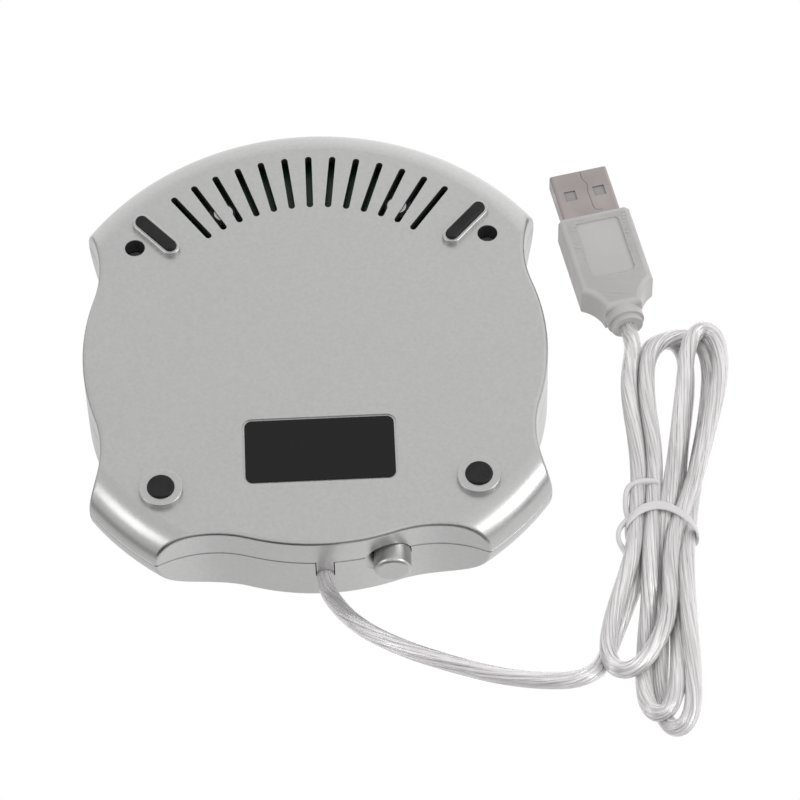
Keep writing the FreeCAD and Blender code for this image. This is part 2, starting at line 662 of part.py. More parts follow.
def base_shell():
    flat = "(disc_radius - edge_radius)"
    rise = "(foot_height + edge_radius)"
    lifted = f"({PARTING} + {BEYOND})"
    core = core_body(
        "base_core",
        [
            ("0", FLOOR),
            (flat, FLOOR, "(edge_radius - wall)", "left"),
            ("(disc_radius - wall)", rise),
            ("(disc_radius - wall)", lifted),
            ("0", lifted),
        ],
    )
    body = new_body("base_shell")
    revolve(
        body,
        [
            ("0", "foot_height"),
            (flat, "foot_height", "edge_radius", "left"),
            ("disc_radius", rise),
            ("disc_radius", PARTING),
            ("0", PARTING),
        ],
    )
    ogee_cuts(body, "0")
    round_shell(body)
    hollow(body, core)

    # the fan of radial vent slots
    first = new_sketch(body, offset=f"-{BEYOND}", turn="(-vent_pitch * (vent_count - 1) / 2)")
    half = "(vent_width / 2)"
    outline(
        first,
        [
            (half, f"-(vent_outer - {half})"),
            (half, f"-(vent_inner + {half})", half, "left"),
            ("0", "-vent_inner", half, "left"),
            (f"-{half}", f"-(vent_inner + {half})"),
            (f"-{half}", f"-(vent_outer - {half})", half, "left"),
            ("0", "-vent_outer", half, "left"),
        ],
    )
    repeat_round(body, cut(body, first, f"{FLOOR} + {BEYOND + 0.01}"), "vent_count", "vent_pitch")

    # ring bosses and rims for the feet, with their seats
    ring_bottom = "(foot_height - round_boss_height)"
    post(body, ROUND_FEET, "round_boss_radius", ring_bottom, "(foot_height + wall / 2)")
    round_edges(body, "rim_edge", flat_at(ring_bottom))
    rim_bottom = "(foot_height - strip_boss_height)"
    strips = [
        {"across": f"({side} * strip_foot_x)", "along": "-strip_foot_y", "turn": f"({side} * strip_foot_turn)"}
        for side in (1, -1)
    ]
    for spot in strips:
        rim = slot(new_sketch(body, offset=rim_bottom, **spot), *STRIP_RIM)
        grow(body, rim, f"(foot_height + wall / 2) - {rim_bottom}")
    round_edges(body, "rim_edge", flat_at(rim_bottom))
    for spot in strips:
        seat = slot(new_sketch(body, offset="-1", **spot), *STRIP_SEAT)
        cut(body, seat, f"{rim_bottom} + strip_foot_seat + 1")

    # posts and pegs on the floor
    under = "(foot_height + wall / 2)"
    post(body, CASE_SCREWS + ROUND_FEET, "case_boss_radius", under, PARTING)
    post(body, BOARD_SCREWS, "peg_radius", under, "board_height")
    post(body, PEGS, "peg_radius", FLOOR, "board_height")
    half_clamp = "clamp_length / 2"
    block(
        body,
        f"(cord_x - {half_clamp})",
        f"(cord_x + {half_clamp})",
        f"({CLAMP_Y} - clamp_width / 2)",
        f"({CLAMP_Y} + clamp_width / 2)",
        under,
        "(cord_height - clamp_gap)",
    )

    # the tab that closes the lead's notch in the other shell
    tab_half = "(cord_radius + cord_clearance - tab_gap)"
    tab = new_sketch(body, offset=under)
    corners = []
    for side, radius in ((1, "(ogee_radius - wall)"), (-1, "(ogee_radius - wall)"), (-1, "ogee_radius")):
        across = f"(cord_x + {side} * {tab_half})"
        corners.append((across, f"sqrt({radius} * {radius} - {across} * {across})"))
    across = f"(cord_x + {tab_half})"
    corners[0] = (*corners[0], "(ogee_radius - wall)", "left")
    corners[2] = (*corners[2], "ogee_radius", "right")
    corners.append((across, f"sqrt(ogee_radius * ogee_radius - {across} * {across})"))
    grow(body, outline(tab, corners), f"cord_height - cord_radius / 2 - {under}")

    # bores for the lead, the screws and the board
    lead = new_sketch(body, "XZ_Plane", offset=f"-(ogee_radius + {BEYOND})")
    circles(lead, [("cord_x", "cord_height", "(cord_radius + cord_clearance)")])
    cut(body, lead, f"wall + {BEYOND + 1}")
    saddle = new_sketch(body, "XZ_Plane", offset=f"-({CLAMP_Y} + clamp_width)")
    circles(saddle, [("cord_x", "cord_height", "(cord_radius + thread_clearance)")])
    cut(body, saddle, "2 * clamp_width")
    head_seat = "(foot_height + case_head_depth)"
    bore(body, CASE_SCREWS + ROUND_FEET, "case_hole_radius", "-1", f"({head_seat} + case_head_height)")
    bore(body, CASE_SCREWS + ROUND_FEET, CASE_HOLE, "foot_height", f"({PARTING} + 1)")
    seat_radius = "(round_foot_radius + foot_clearance)"
    bore(body, ROUND_FEET, seat_radius, "-1", f"({ring_bottom} + round_foot_seat)")
    bore(body, BOARD_SCREWS, SMALL_HOLE, "(foot_height + wall / 2)", "(board_height + 1)")
    bore(body, CLAMP_SCREWS, SMALL_HOLE, f"({FLOOR} + 1)", "(cord_height + 1)")

    # the label's shallow recess, the button's bore and the socket windows
    recess = new_sketch(body, offset="-1", across="label_x", along="label_y")
    rounded_rectangle(
        recess,
        "(label_length / 2 + label_border)",
        "(label_width / 2 + label_border)",
        "(label_corner + label_border)",
    )
    cut(body, recess, "foot_height + label_thickness + 1")
    button_bore(body)
    port_windows(body, f"({BOARD_TOP} - port_gap)", f"({PARTING} + 1)")
    return body


STRIP_RIM = ("(strip_foot_length / 2 + strip_rim)", "(strip_foot_width / 2 + strip_rim)")
STRIP_SEAT = ("(strip_foot_length / 2 + foot_clearance)", "(strip_foot_width / 2 + foot_clearance)")
HOLDER_SPOTS = [
    (
        f"({HOLDER_CIRCLE} * cos(holder_arm_start + {number} * 360 / holder_screw_count))",
        f"({HOLDER_CIRCLE} * sin(holder_arm_start + {number} * 360 / holder_screw_count))",
    )
    for number in range(int(value("holder_screw_count")))
]


def top_shell():
    centre = "(disc_radius - dome_radius)"
    sunk = f"({PARTING} - {BEYOND})"
    core = core_body(
        "top_core",
        [
            ("0", sunk),
            ("(disc_radius - wall)", sunk),
            ("(disc_radius - wall)", PARTING, "(dome_radius - wall)", "left"),
            (centre, CEILING),
            ("0", CEILING),
        ],
    )
    body = new_body("top_shell")
    revolve(
        body,
        [
            ("0", PARTING),
            ("disc_radius", PARTING, "dome_radius", "left"),
            (centre, ROOF),
            ("0", ROOF),
        ],
    )
    ogee_cuts(body, "0")
    round_shell(body)
    hollow(body, core)

    # posts for the case screws and for the sheet that clamps the plate
    inside = f"({CEILING} + wall / 2)"
    post(body, CASE_SCREWS + ROUND_FEET, "case_boss_radius", PARTING, inside)
    post(body, HOLDER_SPOTS, "peg_radius", INSULATION_BOTTOM, inside)
    bore(body, CASE_SCREWS + ROUND_FEET, CASE_HOLE, sunk, f"({CEILING} - 1)")
    bore(body, HOLDER_SPOTS, SMALL_HOLE, f"({INSULATION_BOTTOM} - 1)", f"({HOLDER_BOTTOM} + holder_screw_length)")

    # the opening below the plate, the plate's seat and the hole for the light
    bore(body, [("0", "0")], "opening_radius", f"({CEILING} - 1)", f"({ROOF} + 1)")
    bore(body, [("0", "0")], "(plate_radius + plate_clearance)", LEDGE, f"({ROOF} + 1)")
    bore(body, [("led_x", "led_y")], "(window_radius + window_clearance)", f"({CEILING} - 1)", f"({ROOF} + 1)")

    # the notch for the lead, the button's bore and the socket windows
    radius = "(cord_radius + cord_clearance)"
    notch = new_sketch(body, "XZ_Plane", offset=f"-(ogee_radius + {BEYOND})")
    outline(
        notch,
        [
            (f"(cord_x - {radius})", sunk),
            (f"(cord_x + {radius})", sunk),
            (f"(cord_x + {radius})", "cord_height", radius, "left"),
            ("cord_x", f"(cord_height + {radius})", radius, "left"),
            (f"(cord_x - {radius})", "cord_height"),
        ],
    )
    cut(body, notch, f"wall + {BEYOND + 1}")
    button_bore(body)
    port_windows(body, sunk, f"({BOARD_TOP} + port_tall + port_gap)")
    return body


# ---------------------------------------------------------------------------------------------------------------
# Feet, label and case screws
# ---------------------------------------------------------------------------------------------------------------
def round_foot(label, side):
    body = new_body(label, across=f"({side} * round_foot_x)", along="round_foot_y")
    top = "(foot_height - round_boss_height + round_foot_seat)"
    revolve(
        body,
        [
            ("0", "0"),
            ("(round_foot_radius - foot_edge)", "0", "foot_edge", "left"),
            ("round_foot_radius", "foot_edge"),
            ("round_foot_radius", top),
            ("0", top),
        ],
    )


def strip_foot(label, side):
    body = new_body(
        label,
        across=f"({side} * strip_foot_x)",
        along="-strip_foot_y",
        turn=f"({side} * strip_foot_turn)",
    )
    sketch = slot(new_sketch(body), "(strip_foot_length / 2)", "(strip_foot_width / 2)")
    grow(body, sketch, "foot_height - strip_boss_height + strip_foot_seat")
    round_edges(body, "foot_edge", flat_at("0"))


def feet_and_label():
    round_foot("round_foot_right", 1)
    round_foot("round_foot_left", -1)
    strip_foot("strip_foot_right", 1)
    strip_foot("strip_foot_left", -1)
    label = new_body("rating_label", across="label_x", along="label_y", up="foot_height")
    rounded_rectangle(new_sketch(label), "label_length / 2", "label_width / 2", "label_corner")
    grow(label, label.Group[-1], "label_thickness")


def case_screws():
    for label, spots in (("case_screws_front", CASE_SCREWS), ("case_screws_rear", ROUND_FEET)):
        screw(
            label,
            spots,
            "(foot_height + case_head_depth)",
            "case_head_height",
            "case_head_radius",
            "case_shank_radius",
            "case_screw_length",
        )


# ---------------------------------------------------------------------------------------------------------------
# Heating plate and what holds it
# ---------------------------------------------------------------------------------------------------------------
def heating_stack():
    plate = new_body("heating_plate")
    rest = f"({PLATE_TOP} - plate_dish)"
    revolve(
        plate,
        [
            ("0", PLATE_BOTTOM),
            ("plate_radius", PLATE_BOTTOM),
            ("plate_radius", f"({PLATE_TOP} - plate_edge)", "plate_edge", "left"),
            ("(plate_radius - plate_edge)", PLATE_TOP),
            ("(plate_radius - plate_rim)", PLATE_TOP),
            ("(plate_radius - plate_rim - plate_dish)", rest),
            ("0", rest),
        ],
    )
    gasket = new_body("plate_gasket")
    inner = "(opening_radius + gasket_clearance)"
    revolve(
        gasket,
        [
            (inner, LEDGE),
            ("(plate_radius + plate_clearance - gasket_clearance)", LEDGE),
            ("(plate_radius + plate_clearance - gasket_clearance)", PLATE_BOTTOM),
            (inner, PLATE_BOTTOM),
        ],
    )
    film = doc.addObject("Part::Cylinder", "heater_film")
    film.setExpression("Radius", formula("film_radius"))
    film.setExpression("Height", formula("film_thickness"))
    place(film, up=FILM_BOTTOM)
    insulation = doc.addObject("Part::Cylinder", "insulation_disc")
    insulation.setExpression("Radius", formula("insulation_radius"))
    insulation.setExpression("Height", formula("insulation_thickness"))
    place(insulation, up=INSULATION_BOTTOM)


def plate_clamp():
    body = new_body("plate_clamp")
    post(body, [("0", "0")], "insulation_radius", HOLDER_BOTTOM, INSULATION_BOTTOM)
    arm = new_sketch(body, offset=HOLDER_BOTTOM, turn="holder_arm_start")
    half = "(holder_arm_width / 2)"
    rectangle(arm, "holder_hole_radius", f"({HOLDER_CIRCLE} + holder_arm_end)", f"-{half}", half)
    repeat_round(body, grow(body, arm, "holder_thickness"), "holder_screw_count", "360 / holder_screw_count")
    above = f"({INSULATION_BOTTOM} + 1)"
    bore(body, [("0", "0")], "holder_hole_radius", f"({HOLDER_BOTTOM} - 1)", above)
    bore(body, HOLDER_SPOTS, SMALL_HOLE, f"({HOLDER_BOTTOM} - 1)", above)
    screw(
        "plate_clamp_screws",
        HOLDER_SPOTS,
        f"({HOLDER_BOTTOM} - small_head_height)",
        "small_head_height",
        "small_head_radius",
        "small_shank_radius",
        "(holder_screw_length - thread_spare)",
    )


def rod(label, radius, length, start, direction):
    """A round bar that joins a piece of several bars."""
    bar = doc.addObject("Part::Cylinder", label)
    bar.setExpression("Radius", formula(radius))
    bar.setExpression("Height", formula(length))
    bar.Placement = FreeCAD.Placement(Vector(), FreeCAD.Rotation(Vector(0, 0, 1), direction))
    for axis, text in zip("xyz", start):
        bar.setExpression(f"Placement.Base.{axis}", formula(text))
    return bar


def thermal_fuse():
    along_x = Vector(1, 0, 0)
    fuse_z = f"({HOLDER_BOTTOM} - fuse_radius)"
    case = rod("fuse_case", "fuse_radius", "fuse_length", ("-fuse_length / 2", "0", "0"), along_x)
    whole = "(fuse_length + 2 * fuse_lead_length)"
    lead = rod("fuse_lead", "fuse_lead_radius", whole, (f"-{whole} / 2", "0", "0"), along_x)
    fuse = doc.addObject("Part::Fuse", "thermal_fuse")
    fuse.Base = case
    fuse.Tool = lead
    place(fuse, along="fuse_y", up=fuse_z)


def heater_leads():
    for label, angle in (("heater_lead_positive", "lead_angle"), ("heater_lead_negative", "(lead_angle + lead_spread)")):
        lead = doc.addObject("Part::Cylinder", label)
        lead.setExpression("Radius", formula("lead_radius"))
        lead.setExpression("Height", formula(f"{FILM_BOTTOM} - {BOARD_TOP}"))
        place(lead, f"lead_circle * cos({angle})", f"lead_circle * sin({angle})", BOARD_TOP)


# ---------------------------------------------------------------------------------------------------------------
# Circuit board and what is soldered to it
# ---------------------------------------------------------------------------------------------------------------
CHIP_PINS = 3  # on each side of the middle one, in each of two rows
CAPACITOR_SPOTS = [("-20", "0"), ("-13", "4"), ("20", "-2")]


def circuit_board():
    body = new_body("hub_board")
    sketch = new_sketch(body, offset="board_height")
    wide = "board_half_width"
    reach = f"({BOARD_RADIUS} * cos(board_front_angle))"
    spread = f"({BOARD_RADIUS} * sin(board_front_angle))"
    switch_left = "(button_x - switch_width / 2 - board_switch_left)"
    switch_right = "(button_x + switch_width / 2 + board_switch_right)"
    light_left = "(led_x - board_light_half)"
    light_right = "(led_x + board_light_half)"
    tongue = f"({SWITCH_Y} - board_switch_front)"
    light_end = "(led_y + board_light_end)"
    cut_x = "(board_half_width - board_cut_x)"
    cut_y = "-(case_screw_y - board_cut_near)"
    side_y = "-(case_screw_y - board_cut_far)"
    corners = [
        (f"-{spread}", f"-{reach}", BOARD_RADIUS, "left"),
        (spread, f"-{reach}"),
        (cut_x, cut_y),
        (wide, side_y),
        (wide, "board_back"),
        (switch_right, "board_back"),
        (switch_right, tongue),
        (switch_left, tongue),
        (switch_left, "board_back"),
        (light_right, "board_back"),
        (light_right, light_end),
        (light_left, light_end),
        (light_left, "board_back"),
        (f"-{wide}", "board_back"),
        (f"-{wide}", side_y),
        (f"-{cut_x}", cut_y),
    ]
    grow(body, outline(sketch, corners), "board_thickness")
    bore(body, BOARD_SCREWS, SMALL_HOLE, "(board_height - 1)", f"({BOARD_TOP} + 1)")
    screw(
        "board_screws",
        BOARD_SCREWS,
        BOARD_TOP,
        "small_head_height",
        "small_head_radius",
        "small_shank_radius",
        "(board_thickness + board_screw_grip)",
        upward=False,
    )


CONTACT_SPOTS = (
    "-(contact_inner_pitch / 2 + contact_pitch)",
    "-contact_inner_pitch / 2",
    "contact_inner_pitch / 2",
    "(contact_inner_pitch / 2 + contact_pitch)",
)


def usb_port(number):
    """One socket: a folded shell, an insulator with its tongue, and four contacts."""
    turn = f"(port_pitch * ({number} - (port_count + 1) / 2))"
    back = "-(port_front - port_depth)"
    half = "(port_width / 2)"
    shell = new_body(f"usb_port_{number}_shell", turn=turn)
    block(shell, f"-{half}", half, "-port_front", back, BOARD_TOP, f"({BOARD_TOP} + port_tall)")
    mouth = new_sketch(shell, "XZ_Plane", offset="port_front")
    inside = f"({half} - port_metal)"
    low, high = f"({BOARD_TOP} + port_metal)", f"({BOARD_TOP} + port_tall - port_metal)"
    rectangle(mouth, f"-{inside}", inside, low, high)
    hole = cut(shell, mouth, "port_depth - port_metal")
    hole.Reversed = False

    insulator = new_body(f"usb_port_{number}_tongue", turn=turn)
    wall_y = f"({back} - port_metal)"
    block_front = f"({wall_y} - tongue_block)"
    block(insulator, f"-{inside}", inside, block_front, wall_y, low, high)
    middle = f"({BOARD_TOP} + port_tall / 2 + tongue_thickness / 2)"
    half_tongue = "(tongue_width / 2)"
    tip = f"({block_front} - tongue_length)"
    block(insulator, f"-{half_tongue}", half_tongue, tip, block_front, f"({middle} - tongue_thickness)", middle)

    contacts = new_body(f"usb_port_{number}_contacts", loose=True, turn=turn)
    under = f"({middle} - tongue_thickness)"
    sketch = new_sketch(contacts, offset=f"({under} - contact_thickness)")
    for x in CONTACT_SPOTS:
        near = f"({x} - contact_width / 2)"
        rectangle(sketch, near, f"({x} + contact_width / 2)", f"({block_front} - contact_length)", block_front)
    grow(contacts, sketch, "contact_thickness")


def soldered_parts():
    chip = new_body("hub_controller", along="chip_y", up=BOARD_TOP)
    half = "(chip_size / 2)"
    block(chip, f"-{half}", half, f"-{half}", half, "chip_gap", "chip_height")
    for side in (-1, 1):
        for number in range(-CHIP_PINS, CHIP_PINS + 1):
            x = f"({side} * {half})"
            y = f"({number} * pin_pitch)"
            sides = (f"({x} - pin_reach)", f"({x} + pin_reach)", f"({y} - pin_width / 2)", f"({y} + pin_width / 2)")
            block(chip, *sides, "0", "pin_height")

    crystal = new_body("crystal_can", across="crystal_x", along="chip_y", up=BOARD_TOP)
    flange = ("(crystal_length / 2 + crystal_flange)", "(crystal_width / 2 + crystal_flange)")
    grow(crystal, slot(new_sketch(crystal, turn="90"), *flange), "crystal_flange")
    can = slot(new_sketch(crystal, turn="90"), "(crystal_length / 2)", "(crystal_width / 2)")
    grow(crystal, can, "crystal_height")

    capacitors = new_body("filter_capacitors", loose=True, up=BOARD_TOP)
    post(capacitors, CAPACITOR_SPOTS, "can_radius", "0", "can_height")
    bore(capacitors, CAPACITOR_SPOTS, "(can_radius - can_rim)", "(can_height - can_sink)", "(can_height + 1)")

    header = new_body("wire_header", across="header_x", along="header_y", up=BOARD_TOP)
    half_length, half_width = "(header_length / 2)", "(header_width / 2)"
    block(header, f"-{half_length}", half_length, f"-{half_width}", half_width, "0", "header_height")
    trough = rectangle(
        new_sketch(header, offset="(header_height - header_sink)"),
        f"(header_rim - {half_length})",
        f"({half_length} - header_rim)",
        f"(header_rim - {half_width})",
        f"({half_width} - header_back)",
    )
    cut(header, trough, "header_sink + 1")

    lamp = new_body("status_led", across="led_x", along="led_y", up=BOARD_TOP)
    dome = "(led_height - led_radius)"
    revolve(
        lamp,
        [
            ("0", "0"),
            ("(led_radius + led_flange)", "0"),
            ("(led_radius + led_flange)", "led_foot"),
            ("led_radius", "led_foot"),
            ("led_radius", dome, "led_radius", "left"),
            ("0", "led_height"),
        ],
    )
    window = new_body("led_window", across="led_x", along="led_y")
    foot = f"({BOARD_TOP} + led_height + window_gap)"
    collar = "(window_radius + window_collar)"
    shelf = f"({CEILING} - window_collar)"
    crown = f"({ROOF} + window_proud)"
    revolve(
        window,
        [
            ("0", foot),
            ("window_radius", foot),
            ("window_radius", shelf),
            (collar, shelf),
            (collar, CEILING),
            ("window_radius", CEILING),
            ("window_radius", f"({crown} - window_edge)"),
            ("(window_radius - window_edge)", crown),
            ("0", crown),
        ],
    )


# ---------------------------------------------------------------------------------------------------------------
# Push button with its latching switch
# ---------------------------------------------------------------------------------------------------------------
def along_axis(body, radius, near, far):
    """A round bar along the body's Y axis, between two places on it."""
    sketch = circles(new_sketch(body, "XZ_Plane", offset=f"-({far})"), [("0", "0", radius)])
    return grow(body, sketch, f"{far} - {near}")


def button_group():
    spot = {"across": "button_x", "up": "button_height"}
    housing = new_body("switch_housing", **spot)
    half = "(switch_width / 2)"
    rear = f"({SWITCH_Y} - switch_length)"
    rise = f"(button_height - {BOARD_TOP})"
    block(housing, f"-{half}", half, rear, SWITCH_Y, f"-{rise}", rise)
    hole = circles(
        new_sketch(housing, "XZ_Plane", offset=f"-({SWITCH_Y} + {BEYOND})"),
        [("0", "0", "(plunger_radius + plunger_clearance)")],
    )
    cut(housing, hole, f"plunger_depth + button_travel + plunger_spare + {BEYOND}")

    socket_floor = f"({FLANGE_BACK} + button_socket)"
    plunger = new_body("switch_plunger", **spot)
    along_axis(plunger, "plunger_radius", f"({SWITCH_Y} - plunger_depth)", socket_floor)

    cap = new_body("power_button", **spot)
    profile = new_sketch(cap, "XY_Plane")
    outline(
        profile,
        [
            ("0", socket_floor),
            ("plunger_radius", socket_floor),
            ("plunger_radius", FLANGE_BACK),
            ("button_flange_radius", FLANGE_BACK),
            ("button_flange_radius", FLANGE_Y),
            ("button_radius", FLANGE_Y),
            ("button_radius", f"({BUTTON_FACE} - button_edge)", "button_edge", "left"),
            ("(button_radius - button_edge)", BUTTON_FACE),
            ("0", BUTTON_FACE),
        ],
    )
    turn_about(cap, profile, (origin_part(cap, "Y_Axis"), [""]))


def switch_spring():
    """The coil between the switch and the collar of the cap, wound about the button's axis."""
    body = new_body("switch_spring", across="button_x", along=f"{SWITCH_Y} + spring_wire / 2", up="button_height")
    section = new_sketch(body, "XY_Plane")
    half = "(spring_wire / 2)"
    rectangle(section, f"(spring_radius - {half})", f"(spring_radius + {half})", f"-{half}", half)
    coil = body.newObject("PartDesign::AdditiveHelix", "switch_spring_coil")
    coil.Profile = section
    coil.ReferenceAxis = (section, ["V_Axis"])
    coil.Mode = "height-turns-angle"
    coil.setExpression("Height", formula("switch_gap - spring_wire"))
    coil.setExpression("Turns", formula("spring_turns"))


# ---------------------------------------------------------------------------------------------------------------
# The lead: inner tail, clamp, free cord, hank, tie and plug
# ---------------------------------------------------------------------------------------------------------------
def rounded_path(points):
    """Straight runs joined by tangent arcs, each as large as its two runs allow. Gives edges and radii."""
    edges = []
    radii = []
    last = points[0]
    for before, corner, after in zip(points, points[1:], points[2:]):
        back, ahead = before - corner, after - corner
        half_turn = (math.pi - back.getAngle(ahead)) / 2
        reach = 0.45 * min(back.Length, ahead.Length)
        radii.append(reach / math.tan(half_turn))
        start = corner + Vector(back).normalize() * reach
        end = corner + Vector(ahead).normalize() * reach
        inward = (Vector(back).normalize() + Vector(ahead).normalize()).normalize()
        middle = corner + inward * (radii[-1] / math.cos(half_turn) - radii[-1])
        edges.append(Part.LineSegment(last, start).toShape())
        edges.append(Part.Arc(start, middle, end).toShape())
        last = end
    edges.append(Part.LineSegment(last, points[-1]).toShape())
    return edges, radii


def tube(label, points, radius):
    """A round cord along a path, as a feature of its own, whose volume is checked."""
    edges, radii = rounded_path(points)
    path = Part.Wire(edges)
    ahead = (points[1] - points[0]).normalize()
    section = Part.Wire(Part.makeCircle(radius, points[0], ahead))
    solid = path.makePipeShell([section], True, False)
    expected = math.pi * radius * radius * path.Length
    if abs(solid.Volume - expected) > 0.01 * expected:
        raise ValueError(f"{label}: volume {solid.Volume:.1f} is not section times length {expected:.1f}")
    print(label, f"length {path.Length:.1f}", "radii", [round(item, 1) for item in radii])
    feature = doc.addObject("Part::Feature", label)
    feature.Shape = solid
    place(feature)
    return feature


# Lead from its straight start at the wall to the hank, from the disc axis, heights above the table
CORD_ROUTE = (
    (1.8, 54.0, 11.6),
    (3.9, 59.1, 8.2),
    (6.9, 64.2, 5.0),
    (11.2, 68.7, 2.7),
    (17.1, 72.4, 1.8),
    (24.0, 75.3, 1.7),
    (31.5, 78.0, 1.7),
    (39.0, 79.7, 1.7),
    (46.2, 80.2, 1.7),
    (52.6, 79.0, 1.7),
)


def free_cord():
    radius = value("cord_radius")
    ends = (CORD_WALL, f"({CORD_WALL} + cord_straight)")
    start = [Vector(value("cord_x"), value(end), value("cord_height")) for end in ends]
    tube("usb_cord", start + [Vector(*spot) for spot in CORD_ROUTE], radius)
    end = new_body("cord_plug_tail", across="plug_x", along="plug_y", up="plug_thickness / 2", turn="-plug_turn")
    along_axis(end, "cord_radius", "0", "plug_tail_length")
    tail = doc.addObject("Part::Cylinder", "cord_inner_tail")
    tail.setExpression("Radius", formula("cord_radius"))
    tail.setExpression("Height", formula(f"{CORD_WALL} - {TAIL_END_Y}"))
    place(tail, "cord_x", CORD_WALL, "cord_height")
    tail.Placement = FreeCAD.Placement(tail.Placement.Base, FreeCAD.Rotation(Vector(0, 0, 1), Vector(0, -1, 0)))


def cord_wires():
    """Four thin wires from the end of the jacket to the header."""
    count = int(value("wire_count"))
    radius = value("wire_radius")
    face_y = value("header_y + header_width / 2")
    face_z = value(f"{BOARD_TOP} + header_height / 2")
    end_y = value(TAIL_END_Y)
    gap = value("wire_gap")
    wires = []
    for number in range(count):
        share = number - (count - 1) / 2
        start = Vector(value("cord_x"), end_y, value("cord_height")) + Vector(value("wire_pitch") * share, 0, 0)
        finish = Vector(value("header_x + wire_header_pitch * (%s)" % share), face_y, face_z)
        run = (finish - start).normalize()
        length = (finish - start).Length - 2 * gap
        wires.append(Part.makeCylinder(radius, length, start + run * gap, run))
    bundle = doc.addObject("Part::Feature", "cord_wires")
    bundle.Shape = Part.makeCompound(wires)
    place(bundle)


def cord_clamp():
    body = new_body("cord_clamp", across="cord_x", along=CLAMP_Y, up="cord_height")
    half, width = "(clamp_length / 2)", "(clamp_width / 2)"
    top = "(cord_radius + clamp_thickness / 2)"
    block(body, f"-{half}", half, f"-{width}", width, "0", top)
    groove = circles(
        new_sketch(body, "XZ_Plane", offset="-clamp_width"), [("0", "0", "(cord_radius + thread_clearance)")]
    )
    cut(body, groove, "2 * clamp_width")
    spacing = "(clamp_screw_spacing / 2)"
    bore(body, [(spacing, "0"), (f"-{spacing}", "0")], SMALL_HOLE, "-1", f"({top} + 1)")
    screw(
        "cord_clamp_screws",
        CLAMP_SCREWS,
        f"(cord_height + {top})",
        "small_head_height",
        "small_head_radius",
        "small_shank_radius",
        "clamp_screw_length",
        upward=False,
    )


# Where the lead's straight end meets the hank, and the hank's plan outline, from the disc axis
TAIL_X = "(plug_x + plug_tail_length * sin(plug_turn))"
TAIL_Y = "(plug_y + plug_tail_length * cos(plug_turn))"
HANK_OUTLINE = (
    (f"({TAIL_X} - 4.5 * cos(plug_turn))", f"({TAIL_Y} + 4.5 * sin(plug_turn))"),
    (f"({TAIL_X} + 2.6 * cos(plug_turn))", f"({TAIL_Y} - 2.6 * sin(plug_turn))"),
    ("71.0", "-1.4", "7.0", "left"),
    ("80.4", "-2.2", "6.5", "left"),
    ("83.8", "5.0"),
    ("82.4", "17.0"),
    ("79.6", "31.0", "60.0", "right"),
    ("74.4", "50.0"),
    ("73.0", "66.0"),
    ("73.2", "82.0", "30.0", "left"),
    ("68.4", "93.6", "5.0", "left"),
    ("62.0", "95.0", "6.0", "left"),
    ("57.2", "86.0"),
    ("53.4", "79.4", "24.0", "left"),
    ("52.4", "67.0"),
    ("55.4", "58.0"),
    ("58.4", "50.0"),
    ("58.2", "41.0"),
    ("59.0", "24.0"),
)


def hank_and_tie():
    near, far = "tie_y", "(tie_y + tie_width)"
    inner_left, inner_right = "(tie_left + tie_thickness)", "(tie_right - tie_thickness)"
    body = new_body("cord_hank", loose=True)
    grow(body, outline(new_sketch(body), list(HANK_OUTLINE)), "hank_height")
    sides = (f"(tie_left - {BEYOND})", f"(tie_right + {BEYOND})")
    gap = rectangle(new_sketch(body, offset=f"-{BEYOND}"), *sides, near, far)
    cut(body, gap, f"hank_height + {2 * BEYOND}")
    inner = rectangle(new_sketch(body, offset="tie_thickness"), inner_left, inner_right, near, far)
    grow(body, inner, "hank_height - 2 * tie_thickness")

    tie = new_body("cord_tie")
    block(tie, "tie_left", "tie_right", near, far, "0", "hank_height")
    hole = new_sketch(tie, "XZ_Plane", offset=f"-({far} + {BEYOND})")
    rectangle(hole, inner_left, inner_right, "tie_thickness", "(hank_height - tie_thickness)")
    cut(tie, hole, f"tie_width + {2 * BEYOND}")


